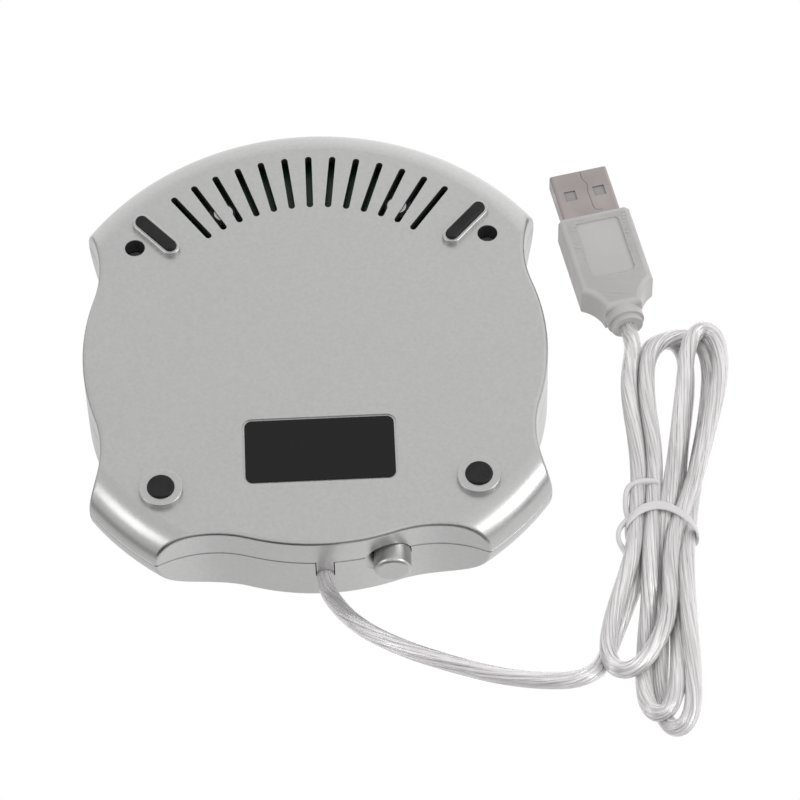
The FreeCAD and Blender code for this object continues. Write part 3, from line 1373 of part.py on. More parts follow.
def plug():
    """The plug lies flat, drawn with its neck at the origin and its tip towards -Y, then turned."""
    spot = {"across": "plug_x", "along": "plug_y", "up": "(plug_thickness / 2)", "turn": "-plug_turn"}
    body = new_body("plug_overmold", **spot)
    half = "(plug_width / 2)"
    neck = "(plug_neck_width / 2)"
    root = f"({neck} + plug_collar)"
    front_x = f"({half} - plug_corner)"
    front_y = "(plug_corner - plug_length)"
    grip = outline(
        new_sketch(body, offset="-plug_thickness / 2"),
        [
            (front_x, "-plug_length"),
            (half, front_y),
            (half, "-plug_shoulder", "plug_shoulder_radius", "right"),
            (root, "-plug_neck_length"),
            (f"-{root}", "-plug_neck_length", "plug_shoulder_radius", "right"),
            (f"-{half}", "-plug_shoulder"),
            (f"-{half}", front_y),
            (f"-{front_x}", "-plug_length"),
        ],
    )
    grow(body, grip, "plug_thickness")
    round_edges(body, "plug_edge", flat_at("plug_thickness / 2"))
    round_edges(body, "plug_edge", flat_at("-plug_thickness / 2"))
    for radius, end in ((root, "-plug_neck_tip"), (neck, "0")):
        start = "(-plug_neck_length - plug_collar)"
        circle = circles(new_sketch(body, "XZ_Plane", offset=f"-({end})"), [("0", "0", radius)])
        grow(body, circle, f"{end} - {start}")
    panel_y = "(panel_front + panel_length / 2 - plug_length)"
    for bottom in (f"(-plug_thickness / 2 - {BEYOND})", "(plug_thickness / 2 - panel_depth)"):
        panel = new_sketch(body, offset=bottom, along=panel_y)
        rounded_rectangle(panel, "(panel_width / 2)", "(panel_length / 2)", "panel_corner")
        cut(body, panel, f"panel_depth + {BEYOND}")
    seat = rounded_rectangle(new_sketch(body, "XZ_Plane", offset="plug_length"), *PLUG_SHELL_FORM)
    socket = cut(body, seat, "plug_shell_root")
    socket.Reversed = False

    shell = new_body("plug_shell", **spot)
    tip = "(plug_length + plug_shell_reach)"
    root_end = "(plug_length - plug_shell_root)"
    sleeve = rounded_rectangle(new_sketch(shell, "XZ_Plane", offset=root_end), *PLUG_SHELL_FORM)
    grow(shell, sleeve, "plug_shell_reach + plug_shell_root")
    inside = new_sketch(shell, "XZ_Plane", offset=f"({root_end} - {BEYOND})")
    inner_half = "(plug_shell_width / 2 - plug_metal)"
    inner_rise = "(plug_shell_thickness / 2 - plug_metal)"
    inner_corner = "(plug_shell_corner - plug_metal)"
    rounded_rectangle(inside, inner_half, inner_rise, inner_corner)
    cut(shell, inside, f"plug_shell_reach + plug_shell_root + {2 * BEYOND}")
    windows = new_sketch(shell, offset="-plug_shell_thickness")
    middle = f"(plug_window_tip - {tip})"
    for side in (-1, 1):
        x = f"({side} * plug_window_spacing / 2)"
        rectangle(
            windows,
            f"({x} - plug_window / 2)",
            f"({x} + plug_window / 2)",
            f"({middle} - plug_window / 2)",
            f"({middle} + plug_window / 2)",
        )
    cut(shell, windows, "2 * plug_shell_thickness")

    insulator = new_body("plug_insulator", **spot)
    tongue = new_sketch(insulator, offset=f"-{inner_rise}")
    tongue_half = f"({inner_half} - {inner_corner})"
    rectangle(tongue, f"-{tongue_half}", tongue_half, f"(plug_tongue_back - {tip})", f"-{root_end}")
    grow(insulator, tongue, "plug_tongue")
    contacts = new_body("plug_contacts", loose=True, **spot)
    sketch = new_sketch(contacts, offset=f"(plug_tongue - {inner_rise})")
    for x in CONTACT_SPOTS:
        near, far = f"({x} - contact_width / 2)", f"({x} + contact_width / 2)"
        rectangle(sketch, near, far, f"(plug_contact_back - {tip})", f"-{root_end}")
    grow(contacts, sketch, "contact_thickness")


PLUG_SHELL_FORM = ("(plug_shell_width / 2)", "(plug_shell_thickness / 2)", "plug_shell_corner")


# ---------------------------------------------------------------------------------------------------------------
# Build, check and write
# ---------------------------------------------------------------------------------------------------------------
base_shell()
top_shell()
feet_and_label()
case_screws()
heating_stack()
plate_clamp()
thermal_fuse()
heater_leads()
circuit_board()
for port_number in range(1, int(value("port_count")) + 1):
    usb_port(port_number)
soldered_parts()
button_group()
switch_spring()
free_cord()
cord_wires()
cord_clamp()
hank_and_tie()
plug()
doc.recompute()

HELPERS = ("base_core", "top_core", "fuse_case", "fuse_lead")
faults = [item.Name for item in doc.Objects if {"Invalid", "Error"} & set(item.State)]
if faults:
    raise RuntimeError(f"objects that failed: {faults}")
for item in doc.Objects:
    if item.TypeId in ("PartDesign::Pocket", "PartDesign::Groove") and item.BaseFeature is not None:
        if item.Shape.Volume >= item.BaseFeature.Shape.Volume - 1e-6:
            raise RuntimeError(f"{item.Name} cuts nothing")

SUB_PARTS = [
    item
    for item in doc.Objects
    if item.Label not in HELPERS
    and (item.TypeId == "PartDesign::Body" or (item.TypeId.startswith("Part::") and item.isDerivedFrom("Part::Feature")))
]
os.makedirs("parts", exist_ok=True)
for item in SUB_PARTS:
    if item.Shape.isNull() or not item.Shape.isValid():
        raise RuntimeError(f"{item.Label} has no valid shape")
for item in SUB_PARTS:
    item.Shape.exportStep(f"parts/{item.Label}.step")
print(len(SUB_PARTS), "sub-parts written")
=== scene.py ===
# %% [markdown]
# # A round mug warmer with four sockets
# The warmer is a flat silver disc with a heated aluminium plate on top and rubber feet below. The main camera
# looks at its underside, as when somebody holds it up to read the label. The object itself stands upright, so
# the camera sits below the floor, looks up, and is rolled by half a turn. Everything rigid comes in as a packed
# model, and this script gives it finishes, a soft lead, a tie, a few fine pieces, light and a camera.

import json
import math

import bmesh
import bpy
from mathutils import Matrix, Vector


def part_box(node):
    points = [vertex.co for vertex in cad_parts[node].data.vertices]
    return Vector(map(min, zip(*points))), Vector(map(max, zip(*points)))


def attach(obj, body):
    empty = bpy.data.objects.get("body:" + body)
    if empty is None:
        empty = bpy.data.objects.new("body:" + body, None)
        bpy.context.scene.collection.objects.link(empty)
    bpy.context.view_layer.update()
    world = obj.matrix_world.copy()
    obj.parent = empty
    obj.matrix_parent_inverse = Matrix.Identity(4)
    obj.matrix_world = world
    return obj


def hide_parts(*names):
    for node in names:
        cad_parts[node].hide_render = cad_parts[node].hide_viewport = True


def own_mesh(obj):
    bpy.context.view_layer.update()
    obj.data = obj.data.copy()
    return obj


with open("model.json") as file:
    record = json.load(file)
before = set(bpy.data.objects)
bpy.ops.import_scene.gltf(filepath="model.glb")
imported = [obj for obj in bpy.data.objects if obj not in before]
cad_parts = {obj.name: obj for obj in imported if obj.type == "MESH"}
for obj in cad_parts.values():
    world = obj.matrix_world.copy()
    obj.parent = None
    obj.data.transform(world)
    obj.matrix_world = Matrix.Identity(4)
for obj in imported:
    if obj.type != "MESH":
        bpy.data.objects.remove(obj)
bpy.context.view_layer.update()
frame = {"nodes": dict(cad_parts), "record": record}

# %% [markdown]
# Lengths on this object are easier to think of in millimetres, and Blender works in metres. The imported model
# has its origin in the middle of the case, button included, so the disc's own axis lies 4 mm nearer to the
# button. One small helper moves a point from the disc's millimetres to the model's metres, and a second one puts
# a piece, a lamp or the camera into the scene.

# %% Millimetres about the disc's axis
MM = 0.001
DISC_SHIFT = 4.01


def at(x, y, z):
    """A point in millimetres about the disc's axis, as a point of the model."""
    return Vector((x * MM, (y + DISC_SHIFT) * MM, z * MM))


def add_to_scene(name, data):
    """A new object with that data, at the origin of the scene."""
    made = bpy.data.objects.new(name, data)
    bpy.context.scene.collection.objects.link(made)
    return made


print("the disc's axis meets the table at", [round(c, 4) for c in at(0.0, 0.0, 0.0)])

# %% [markdown]
# ## Camera
# A long lens far away keeps the disc nearly round, with just enough perspective for the near wall to show. The
# place is in millimetres, and three directions say where the camera's right side, its top and its line of sight
# point. A camera looks along its own -Z, so the third column of its matrix is the sight turned about.

# %% Camera below the floor
LENS = 202.5
CAMERA_PLACE = Vector((8.08, 520.73, -739.65))
SIGHT = Vector((0.0094, -0.5614, 0.8275)).normalized()
RIGHT = Vector((0.999, 0.0407, 0.0162))
RIGHT = (RIGHT - SIGHT * RIGHT.dot(SIGHT)).normalized()
TOP = RIGHT.cross(SIGHT)

lens = bpy.data.cameras.new("camera")
lens.sensor_width = 36.0
lens.lens = LENS
lens.clip_start = 0.05
lens.clip_end = 20.0
camera = add_to_scene("camera", lens)
turn = Matrix((RIGHT, TOP, -SIGHT)).transposed().to_4x4()
camera.matrix_world = Matrix.Translation(CAMERA_PLACE * MM) @ turn
bpy.context.scene.camera = camera
print("the camera stands", [round(c, 3) for c in camera.location], "with its top", [round(c, 2) for c in TOP])

# %% [markdown]
# ## The lead
# The lead is a limp cord: a twist of fine tinned wires in a clear jacket. It leaves the case in the middle of
# the cut side, drops to the table, runs round to the side, and is folded there into a hank that a tie holds. It
# could be a rope of cloth that falls, but a folded hank keeps the shape that hands gave it, so a smooth spline
# with a long list of control points gives the line. At their tips most of the folds are tighter than such a lead
# would bend. A bevel gives the line its thickness: its depth of 1 is multiplied by each point's radius, and
# Blender also takes that radius for the curve's box, so the radius is set in metres on the points.

# %% The lead's line
LEAD_RADIUS = 1.7
LEAD_ROUTE = (
    # out of the case and down to the table
    (0.3, 46.8, 12.9), (0.3, 50.0, 12.9), (1.8, 54.0, 11.6), (3.9, 59.1, 8.2), (6.9, 64.2, 5.0),
    (11.2, 68.7, 2.7), (17.1, 72.4, 1.8), (24.0, 75.3, 1.7), (31.5, 78.0, 1.7), (39.0, 79.7, 1.7),
    (46.2, 80.2, 1.7),
    # into the hank, over the fold that lies there, and up through the tie
    (49.8, 79.1, 1.9), (52.3, 76.5, 3.6), (54.1, 72.6, 5.0), (55.7, 68.6, 5.0), (57.8, 63.9, 4.4),
    (59.7, 59.3, 4.3), (61.7, 53.0, 4.7), (63.2, 44.9, 4.8), (63.9, 37.9, 4.8),
    # the first fold by the plug
    (64.4, 28.5, 4.8), (64.2, 20.1, 4.8), (64.3, 12.9, 4.8), (65.0, 6.5, 5.3), (66.9, 0.4, 7.2),
    (69.7, -2.3, 8.1), (72.7, -1.9, 8.1), (74.2, 1.7, 7.0), (74.3, 8.0, 5.3), (73.6, 14.6, 4.8),
    (72.1, 23.0, 4.8), (71.0, 30.0, 4.8), (69.9, 39.4, 4.8),
    # the first fold at the far end
    (69.0, 46.3, 4.8), (68.5, 53.2, 4.8), (68.3, 61.2, 4.8), (68.0, 69.4, 4.4), (67.4, 76.9, 3.0),
    (66.5, 83.2, 1.7), (64.8, 87.5, 1.7), (62.3, 88.5, 1.7), (60.6, 86.1, 1.9), (60.4, 81.0, 3.0),
    (60.9, 74.9, 4.8), (61.7, 68.8, 4.8), (62.7, 62.7, 3.8), (63.2, 57.2, 1.7), (64.0, 49.2, 2.2),
    (65.0, 41.1, 2.2),
    # the second fold by the plug
    (65.9, 33.0, 2.1), (66.1, 25.9, 1.7), (65.6, 18.7, 1.7), (65.7, 11.4, 1.8), (66.6, 5.2, 2.8),
    (69.2, 0.8, 4.0), (72.9, -0.8, 4.8), (76.3, -0.4, 4.8), (78.5, 2.7, 4.8), (78.9, 8.1, 4.8),
    (78.0, 14.8, 4.8), (76.6, 22.0, 4.8), (74.6, 30.2, 4.8), (72.5, 39.5, 4.8),
    # the second fold at the far end
    (71.1, 48.5, 3.4), (70.2, 57.6, 1.7), (70.0, 65.5, 1.7), (70.0, 74.5, 1.7), (69.8, 82.3, 1.7),
    (69.2, 87.7, 1.7), (67.2, 91.6, 1.7), (64.8, 90.7, 3.0), (63.5, 86.4, 4.6), (63.5, 80.8, 4.8),
    (64.3, 72.3, 4.8), (65.0, 63.4, 4.8), (65.0, 55.4, 4.8), (65.8, 49.0, 4.0), (67.7, 41.3, 2.2),
    # the third fold by the plug
    (69.1, 35.5, 1.7), (70.7, 27.3, 1.7), (72.1, 19.0, 1.7), (73.5, 11.4, 1.7), (74.4, 4.9, 1.7),
    (75.9, 0.8, 1.7), (78.6, -0.5, 1.7), (80.7, 2.0, 1.7), (81.0, 7.9, 1.7), (79.9, 14.2, 1.7),
    (77.9, 21.3, 1.7), (76.0, 27.6, 1.7), (73.9, 34.6, 1.8), (70.8, 41.9, 2.3),
    # the third fold at the far end
    (68.5, 48.3, 2.2), (67.3, 55.1, 1.7), (67.0, 61.3, 1.7), (66.0, 66.9, 1.7), (64.1, 71.3, 1.7),
    (61.7, 75.4, 1.7), (59.0, 78.0, 1.7), (56.1, 78.5, 1.7), (54.2, 76.6, 1.7), (53.9, 72.6, 1.7),
    (55.0, 67.5, 1.7), (56.6, 62.6, 1.7), (58.5, 57.4, 1.7), (60.1, 52.5, 1.7), (61.2, 46.8, 2.2),
    # up along the outside and into the plug
    (62.1, 39.8, 2.3), (62.8, 32.8, 2.1), (62.7, 25.7, 1.7), (62.2, 18.5, 1.7), (62.1, 13.0, 1.7),
    (62.7, 8.4, 2.0), (63.5, 4.4, 2.9), (63.8, 1.0, 3.7), (63.5, -1.3, 4.0), (63.12, -3.16, 4.0),
)
print("the lead has", len(LEAD_ROUTE), "control points")


# %% A smooth line through the points
def smooth_line(name, points):
    """A smooth spline with the given control points, as a curve object without thickness."""
    data = bpy.data.curves.new(name, "CURVE")
    data.dimensions = "3D"
    spline = data.splines.new("NURBS")
    spline.points.add(len(points) - 1)
    for point, place in zip(spline.points, points):
        point.co = (*at(*place), 1.0)
        point.radius = LEAD_RADIUS * MM
    spline.order_u = 3
    spline.use_endpoint_u = True
    spline.resolution_u = 6
    return add_to_scene(name, data)


lead = smooth_line("lead", LEAD_ROUTE)
print("the lead's line is a", lead.data.splines[0].type, "spline")

# %% [markdown]
# A cord has a fixed length, so the line is measured before it gets its thickness. A mesh made from the bare
# curve is a chain of short edges, and their sum is the length.


# %% The lead's length and thickness
def length_of(line):
    """The length of a curve that has no thickness yet."""
    mesh = bpy.data.meshes.new_from_object(line)
    places = [vertex.co.copy() for vertex in mesh.vertices]
    bpy.data.meshes.remove(mesh)
    return sum((other - one).length for one, other in zip(places, places[1:]))


lead_length = length_of(lead)
lead.data.bevel_depth = 1.0
lead.data.bevel_resolution = 4
lead.data.use_fill_caps = True
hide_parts("usb_cord", "cord_hank", "cord_plug_tail")
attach(lead, "housing")
print("the lead is", round(lead_length, 3), "m long and", 2 * LEAD_RADIUS, "mm thick")

# %% [markdown]

# %% [markdown]
# ## Finishes
# Every finish here is plain, so each one is a Principled shader with one or two noise patterns that break up
# its colour, roughness and surface. A few helpers keep each finish down to a line or two. Those for nodes and
# arithmetic serve the world's light too, because a world has the same kind of node tree as a material.


# %% Nodes, links and arithmetic
def node(owner, kind, **settings):
    """A new node of a material or of the world, with its settings made."""
    made = owner.node_tree.nodes.new(kind)
    for key, value in settings.items():
        setattr(made, key, value)
    return made


def join(owner, source, target):
    """A link from one socket to another."""
    owner.node_tree.links.new(source, target)


def work_out(owner, operation, one, other=0.0):
    """One step of arithmetic on one or two values, each of them a socket or a number."""
    made = node(owner, "ShaderNodeMath", operation=operation)
    for socket, value in zip(made.inputs, (one, other)):
        if isinstance(value, (int, float)):
            socket.default_value = value
        else:
            join(owner, value, socket)
    return made.outputs[0]


def both(owner, one, other):
    """The product of two values, which is 1 where two masks both are."""
    return work_out(owner, "MULTIPLY", one, other)


print("helpers:", ", ".join(helper.__name__ for helper in (node, join, work_out, both)))


# %% A new finish
def new_finish(name, color, roughness, metallic=0.0):
    """A material with one Principled shader, and that shader."""
    material = bpy.data.materials.new(name)
    material.use_nodes = True
    shader = material.node_tree.nodes["Principled BSDF"]
    shader.inputs["Base Color"].default_value = (*color, 1.0)
    shader.inputs["Roughness"].default_value = roughness
    shader.inputs["Metallic"].default_value = metallic
    material.diffuse_color = (*color, 1.0)
    return material, shader


def let_light_in(shader, weight, depth):
    """Light that wanders under the skin of a pale plastic, alike in all three colours."""
    shader.inputs["Subsurface Weight"].default_value = weight
    shader.inputs["Subsurface Scale"].default_value = depth
    shader.inputs["Subsurface Radius"].default_value = (1.0, 1.0, 1.0)


print("helpers:", ", ".join(helper.__name__ for helper in (new_finish, let_light_in)))

# %% [markdown]
# Patterns read Object coordinates, in metres, so their scale is features per metre and they stay where they are
# on a piece that moves. A noise hardly ever leaves its middle range, so it is stretched before it is used.

# %% Patterns
NOISE_LOW, NOISE_HIGH = 0.3, 0.7


def noise(material, scale, detail=2.0, stretch=(1.0, 1.0, 1.0)):
    """A noise pattern on Object coordinates, scale features to the metre, as its factor socket."""
    place = node(material, "ShaderNodeTexCoord")
    mapping = node(material, "ShaderNodeMapping")
    mapping.inputs["Scale"].default_value = stretch
    pattern = node(material, "ShaderNodeTexNoise")
    pattern.inputs["Scale"].default_value = scale
    pattern.inputs["Detail"].default_value = detail
    join(material, place.outputs["Object"], mapping.inputs["Vector"])
    join(material, mapping.outputs["Vector"], pattern.inputs["Vector"])
    return pattern.outputs["Fac"]


def spread(material, factor, low, high, start=NOISE_LOW, end=NOISE_HIGH):
    """The factor stretched to run from low to high."""
    ranged = node(material, "ShaderNodeMapRange")
    ranged.inputs["From Min"].default_value = start
    ranged.inputs["From Max"].default_value = end
    ranged.inputs["To Min"].default_value = low
    ranged.inputs["To Max"].default_value = high
    join(material, factor, ranged.inputs["Value"])
    return ranged.outputs["Result"]


print("a noise is stretched from its range", NOISE_LOW, "to", NOISE_HIGH)


# %% Colour, roughness and relief from a pattern
def blend(material, factor, one, other):
    """A colour that goes from one to the other as the factor goes from 0 to 1; each a socket or a colour."""
    mix = node(material, "ShaderNodeMix", data_type="RGBA")
    for socket, value in ((mix.inputs["A"], one), (mix.inputs["B"], other)):
        if isinstance(value, tuple):
            socket.default_value = (*value, 1.0)
        else:
            join(material, value, socket)
    join(material, factor, mix.inputs["Factor"])
    return mix.outputs["Result"]


def tint(material, shader, factor, dark, light):
    """Base colour that wanders between two near tones."""
    tone = blend(material, spread(material, factor, 0.0, 1.0), dark, light)
    join(material, tone, shader.inputs["Base Color"])
    return tone


def worn(material, shader, scale, low, high):
    """Roughness that wanders between two values, as on a piece that hands have touched."""
    gloss = spread(material, noise(material, scale), low, high)
    join(material, gloss, shader.inputs["Roughness"])
    return gloss


def emboss(material, shader, factor, depth, strength=1.0):
    """A bump of that depth in metres."""
    bump = node(material, "ShaderNodeBump")
    bump.inputs["Distance"].default_value = depth
    bump.inputs["Strength"].default_value = strength
    join(material, factor, bump.inputs["Height"])
    join(material, bump.outputs["Normal"], shader.inputs["Normal"])


print("helpers:", ", ".join(helper.__name__ for helper in (blend, tint, worn, emboss)))

# %% [markdown]
# ## Silver paint
# The case is moulded plastic with satin silver paint. The paint holds fine metal flakes, which give a soft broad
# highlight and a barely visible grain, so the shader is mostly metallic and rather rough. It could be a plain
# grey with a coat, but then its highlights would be white and hard.

# %% Silver paint
PAINT_METAL, PAINT_ROUGHNESS = 0.85, (0.28, 0.33)


def silver_paint(name):
    """The satin silver paint, its shader, and the sockets of its colour and its roughness."""
    paint, shader = new_finish(name, (0.46, 0.46, 0.457), 0.30, metallic=PAINT_METAL)
    colour = tint(paint, shader, noise(paint, 1400.0, detail=3.0), (0.445, 0.445, 0.442), (0.480, 0.480, 0.477))
    satin = worn(paint, shader, 60.0, *PAINT_ROUGHNESS)
    emboss(paint, shader, noise(paint, 3500.0, detail=4.0), 0.00002, strength=0.35)
    return paint, shader, colour, satin


button_paint = silver_paint("button silver")[0]
silver, shader, paint_colour, paint_satin = silver_paint("silver paint")
print("silver paint on the button and on the case")

# %% [markdown]
# The inside of the case is coloured nearly black, with no metal and more roughness: painted shade, which darkens
# the vents and the holes of two screws. The shells are one mesh each, so the finish itself tells the inside by
# its place: above the floor of the case, below its roof, and nearer to the axis than the walls. The vents reach
# further out than that, and the holes of two screws do too, so both have a mask of their own. All sizes are in
# millimetres.

# %% Where the inside of the case is
INSIDE_LOW, INSIDE_HIGH, INSIDE_RADIUS = 2.1, 18.85, 43.9
VENTS_RADIUS, VENTS_ASIDE, VENTS_BEHIND, VENTS_HIGH = 50.0, 32.0, -10.0, 8.8
SCREW_HOLE, SCREW_HOLE_RADIUS = (36.0, -26.5), 2.7


def below(material, value, limit):
    """1 where the value is below the limit."""
    return work_out(material, "LESS_THAN", value, limit)


def distance_from_axis(material, place):
    """How far a point lies from the disc's axis."""
    flat = node(material, "ShaderNodeMapping")
    flat.inputs["Location"].default_value = (0.0, -DISC_SHIFT * MM, 0.0)
    flat.inputs["Scale"].default_value = (1.0, 1.0, 0.0)
    join(material, place, flat.inputs["Vector"])
    length = node(material, "ShaderNodeVectorMath", operation="LENGTH")
    join(material, flat.outputs["Vector"], length.inputs[0])
    return length.outputs["Value"]


print("the inside lies between", INSIDE_LOW, "and", INSIDE_HIGH, "mm, within", INSIDE_RADIUS, "mm of the axis")


# %% The mask of the inside
def inside_the_case(material):
    """1 where the moulding is inside the case and 0 on its outside."""
    place = node(material, "ShaderNodeTexCoord").outputs["Object"]
    axes = node(material, "ShaderNodeSeparateXYZ")
    join(material, place, axes.inputs["Vector"])
    aside, along, height = work_out(material, "ABSOLUTE", axes.outputs["X"]), axes.outputs["Y"], axes.outputs["Z"]
    radius = distance_from_axis(material, place)
    core = below(material, radius, INSIDE_RADIUS * MM)
    behind = both(material, below(material, aside, VENTS_ASIDE * MM),
                  below(material, along, at(0.0, VENTS_BEHIND, 0.0).y))
    vents = both(material, below(material, radius, VENTS_RADIUS * MM), below(material, height, VENTS_HIGH * MM))
    screw = at(*SCREW_HOLE, 0.0)
    across_squared = work_out(material, "POWER", work_out(material, "SUBTRACT", aside, screw.x), 2.0)
    along_squared = work_out(material, "POWER", work_out(material, "SUBTRACT", along, screw.y), 2.0)
    hole = below(material, work_out(material, "ADD", across_squared, along_squared), (SCREW_HOLE_RADIUS * MM) ** 2)
    within = work_out(material, "MAXIMUM", core, both(material, behind, vents))
    within = work_out(material, "MAXIMUM", within, hole)
    between = both(material, work_out(material, "GREATER_THAN", height, INSIDE_LOW * MM),
                   below(material, height, INSIDE_HIGH * MM))
    return both(material, within, between)


# Painted shade: the inside of the case, the vents and the holes of two screws get a near-black colour that stands
# for the shade in there.
INSIDE_PAINTED_SHADE, INSIDE_SHADE_ROUGHER = (0.028, 0.028, 0.029), 0.25
painted_shade = inside_the_case(silver)
silver_outside = work_out(silver, "SUBTRACT", 1.0, painted_shade)
join(silver, blend(silver, painted_shade, paint_colour, INSIDE_PAINTED_SHADE), shader.inputs["Base Color"])
join(silver, both(silver, silver_outside, PAINT_METAL), shader.inputs["Metallic"])
join(silver, work_out(silver, "ADD", paint_satin, both(silver, painted_shade, INSIDE_SHADE_ROUGHER)), shader.inputs["Roughness"])
print("the inside of the case is bare and nearly black")

# %% [markdown]
# ## Metals
# The mug stands on a turned aluminium plate, whose tool left fine rings, so a wave pattern of rings about the
# disc's axis gives its relief. The screws and the crystal's can are zinc plated, the sockets are tin plated, the
# plug is dull nickel, the button's spring is bare wire, and the contacts have a thin flash of gold. All are fully
# metallic, and differ in their colour and in how much they blur what they mirror.

# %% Plate, screws and spring
plate_metal, shader = new_finish("turned aluminium", (0.62, 0.62, 0.63), 0.32, metallic=1.0)
rings = node(plate_metal, "ShaderNodeTexWave", wave_type="RINGS", rings_direction="Z")
rings.inputs["Scale"].default_value = 320.0
rings.inputs["Distortion"].default_value = 0.6
rings.inputs["Detail"].default_value = 2.0
centre = node(plate_metal, "ShaderNodeMapping")
centre.inputs["Location"].default_value = (0.0, -DISC_SHIFT * MM, 0.0)
join(plate_metal, node(plate_metal, "ShaderNodeTexCoord").outputs["Object"], centre.inputs["Vector"])
join(plate_metal, centre.outputs["Vector"], rings.inputs["Vector"])
emboss(plate_metal, shader, rings.outputs["Fac"], 0.00004, strength=0.6)

steel, shader = new_finish("zinc plated steel", (0.60, 0.60, 0.62), 0.34, metallic=1.0)
worn(steel, shader, 500.0, 0.28, 0.42)

spring_wire, shader = new_finish("spring wire", (0.55, 0.55, 0.57), 0.3, metallic=1.0)
worn(spring_wire, shader, 900.0, 0.24, 0.38)
print("metals:", ", ".join(metal.name for metal in (plate_metal, steel, spring_wire)))

# %% Sockets, plug and contacts
tinned, shader = new_finish("tin plated shell", (0.55, 0.55, 0.55), 0.26, metallic=1.0)
worn(tinned, shader, 300.0, 0.2, 0.34)
emboss(tinned, shader, noise(tinned, 500.0, stretch=(1.0, 0.2, 1.0)), 0.00002, strength=0.4)

plug_metal, shader = new_finish("nickel plated plug", (0.36, 0.325, 0.315), 0.34, metallic=1.0)
tint(plug_metal, shader, noise(plug_metal, 160.0), (0.33, 0.30, 0.29), (0.39, 0.35, 0.34))
worn(plug_metal, shader, 300.0, 0.28, 0.42)

gold, shader = new_finish("gold flash", (0.86, 0.64, 0.28), 0.25, metallic=1.0)
worn(gold, shader, 900.0, 0.2, 0.32)
print("metals:", ", ".join(metal.name for metal in (tinned, plug_metal, gold)))

# %% [markdown]
# ## Rubber and dark plastics
# Black pieces show their finish by their shine alone. The feet are matt rubber with a fine grain, and the label
# is a smooth film with a faint waviness from its glue. Both mirror little, so their specular level is low and
# they stay dark in a bright room. Mouldings and chips inside are ordinary dark plastic.

# %% Rubber, label and dark plastics
rubber, shader = new_finish("foot rubber", (0.014, 0.014, 0.014), 0.4)
shader.inputs["Specular IOR Level"].default_value = 0.2
tint(rubber, shader, noise(rubber, 300.0), (0.010, 0.010, 0.0105), (0.018, 0.018, 0.0185))
emboss(rubber, shader, noise(rubber, 1200.0, detail=3.0), 0.00006, strength=0.5)

label, shader = new_finish("label film", (0.010, 0.010, 0.0105), 0.42)
shader.inputs["Specular IOR Level"].default_value = 0.15
worn(label, shader, 200.0, 0.38, 0.48)
emboss(label, shader, noise(label, 90.0), 0.00008, strength=0.4)

black_plastic, shader = new_finish("black moulding", (0.02, 0.02, 0.02), 0.4)
emboss(black_plastic, shader, noise(black_plastic, 1500.0), 0.00003, strength=0.5)

resin, shader = new_finish("chip resin", (0.025, 0.025, 0.028), 0.55)
emboss(resin, shader, noise(resin, 2500.0), 0.00004, strength=0.6)

sleeve, shader = new_finish("capacitor sleeve", (0.02, 0.03, 0.12), 0.3)
worn(sleeve, shader, 400.0, 0.25, 0.4)
print("dark:", ", ".join(dark.name for dark in (rubber, label, black_plastic, resin, sleeve)))

# %% [markdown]
# ## Pale plastics and soft pieces
# Nylon, silicone, the tie and the plug's soft moulding let light a little way in, which softens their shadows.
# Subsurface does that, with a radius that is alike for red, green and blue, because these plastics have no
# colour of their own to show there. Round the heater there are also felt, an amber film and a glazed fuse.

# %% Pale plastics
nylon, shader = new_finish("natural nylon", (0.72, 0.71, 0.67), 0.4)
let_light_in(shader, 0.15, 0.002)
emboss(nylon, shader, noise(nylon, 1200.0), 0.00004, strength=0.5)

# Painted shade: the plug's insulator is pale, and its grey here stands for the shade inside the plug's shell.
insulator_painted_shade, shader = new_finish("plug insulator", (0.33, 0.31, 0.31), 0.45)
tint(insulator_painted_shade, shader, noise(insulator_painted_shade, 400.0), (0.31, 0.29, 0.29), (0.35, 0.33, 0.33))

soft_grey, shader = new_finish("plug moulding", (0.52, 0.50, 0.50), 0.42)
tint(soft_grey, shader, noise(soft_grey, 130.0), (0.50, 0.48, 0.48), (0.54, 0.52, 0.52))
let_light_in(shader, 0.12, 0.0015)
emboss(soft_grey, shader, noise(soft_grey, 2200.0, detail=3.0), 0.00003, strength=0.5)

tie_plastic, shader = new_finish("tie", (0.74, 0.73, 0.74), 0.35)
let_light_in(shader, 0.2, 0.001)
emboss(tie_plastic, shader, noise(tie_plastic, 900.0), 0.00004, strength=0.5)
print("pale:", ", ".join(pale.name for pale in (nylon, insulator_painted_shade, soft_grey, tie_plastic)))

# %% Heater parts
silicone, shader = new_finish("silicone", (0.80, 0.79, 0.76), 0.5)
let_light_in(shader, 0.2, 0.002)
emboss(silicone, shader, noise(silicone, 800.0), 0.00004, strength=0.4)

felt, shader = new_finish("pressed fibre", (0.75, 0.73, 0.68), 0.9)
emboss(felt, shader, noise(felt, 900.0, detail=6.0), 0.0002)

film, shader = new_finish("amber film", (0.60, 0.30, 0.05), 0.25)
worn(film, shader, 300.0, 0.2, 0.35)

fuse_glaze, shader = new_finish("fuse case", (0.70, 0.67, 0.60), 0.3)
worn(fuse_glaze, shader, 500.0, 0.25, 0.4)
print("heater:", ", ".join(part.name for part in (silicone, felt, film, fuse_glaze)))

# %% [markdown]
# ## Board, wires and lamp
# The board is green mask over copper, with a faint unevenness, and its green is kept very dark, which adds painted
# shade behind the vents. The wires have a smooth insulation, and the small lamp is clear resin, which a part of
# transmission makes see-through without turning it into glass.

# %% Board, wires and lamp
# Partly painted shade: the board's green is kept very dark, so that the vents show dark.
board, shader = new_finish("board mask", (0.006, 0.04, 0.016), 0.4)
tint(board, shader, noise(board, 450.0, detail=4.0), (0.004, 0.034, 0.012), (0.009, 0.05, 0.022))
emboss(board, shader, noise(board, 700.0), 0.00003, strength=0.4)

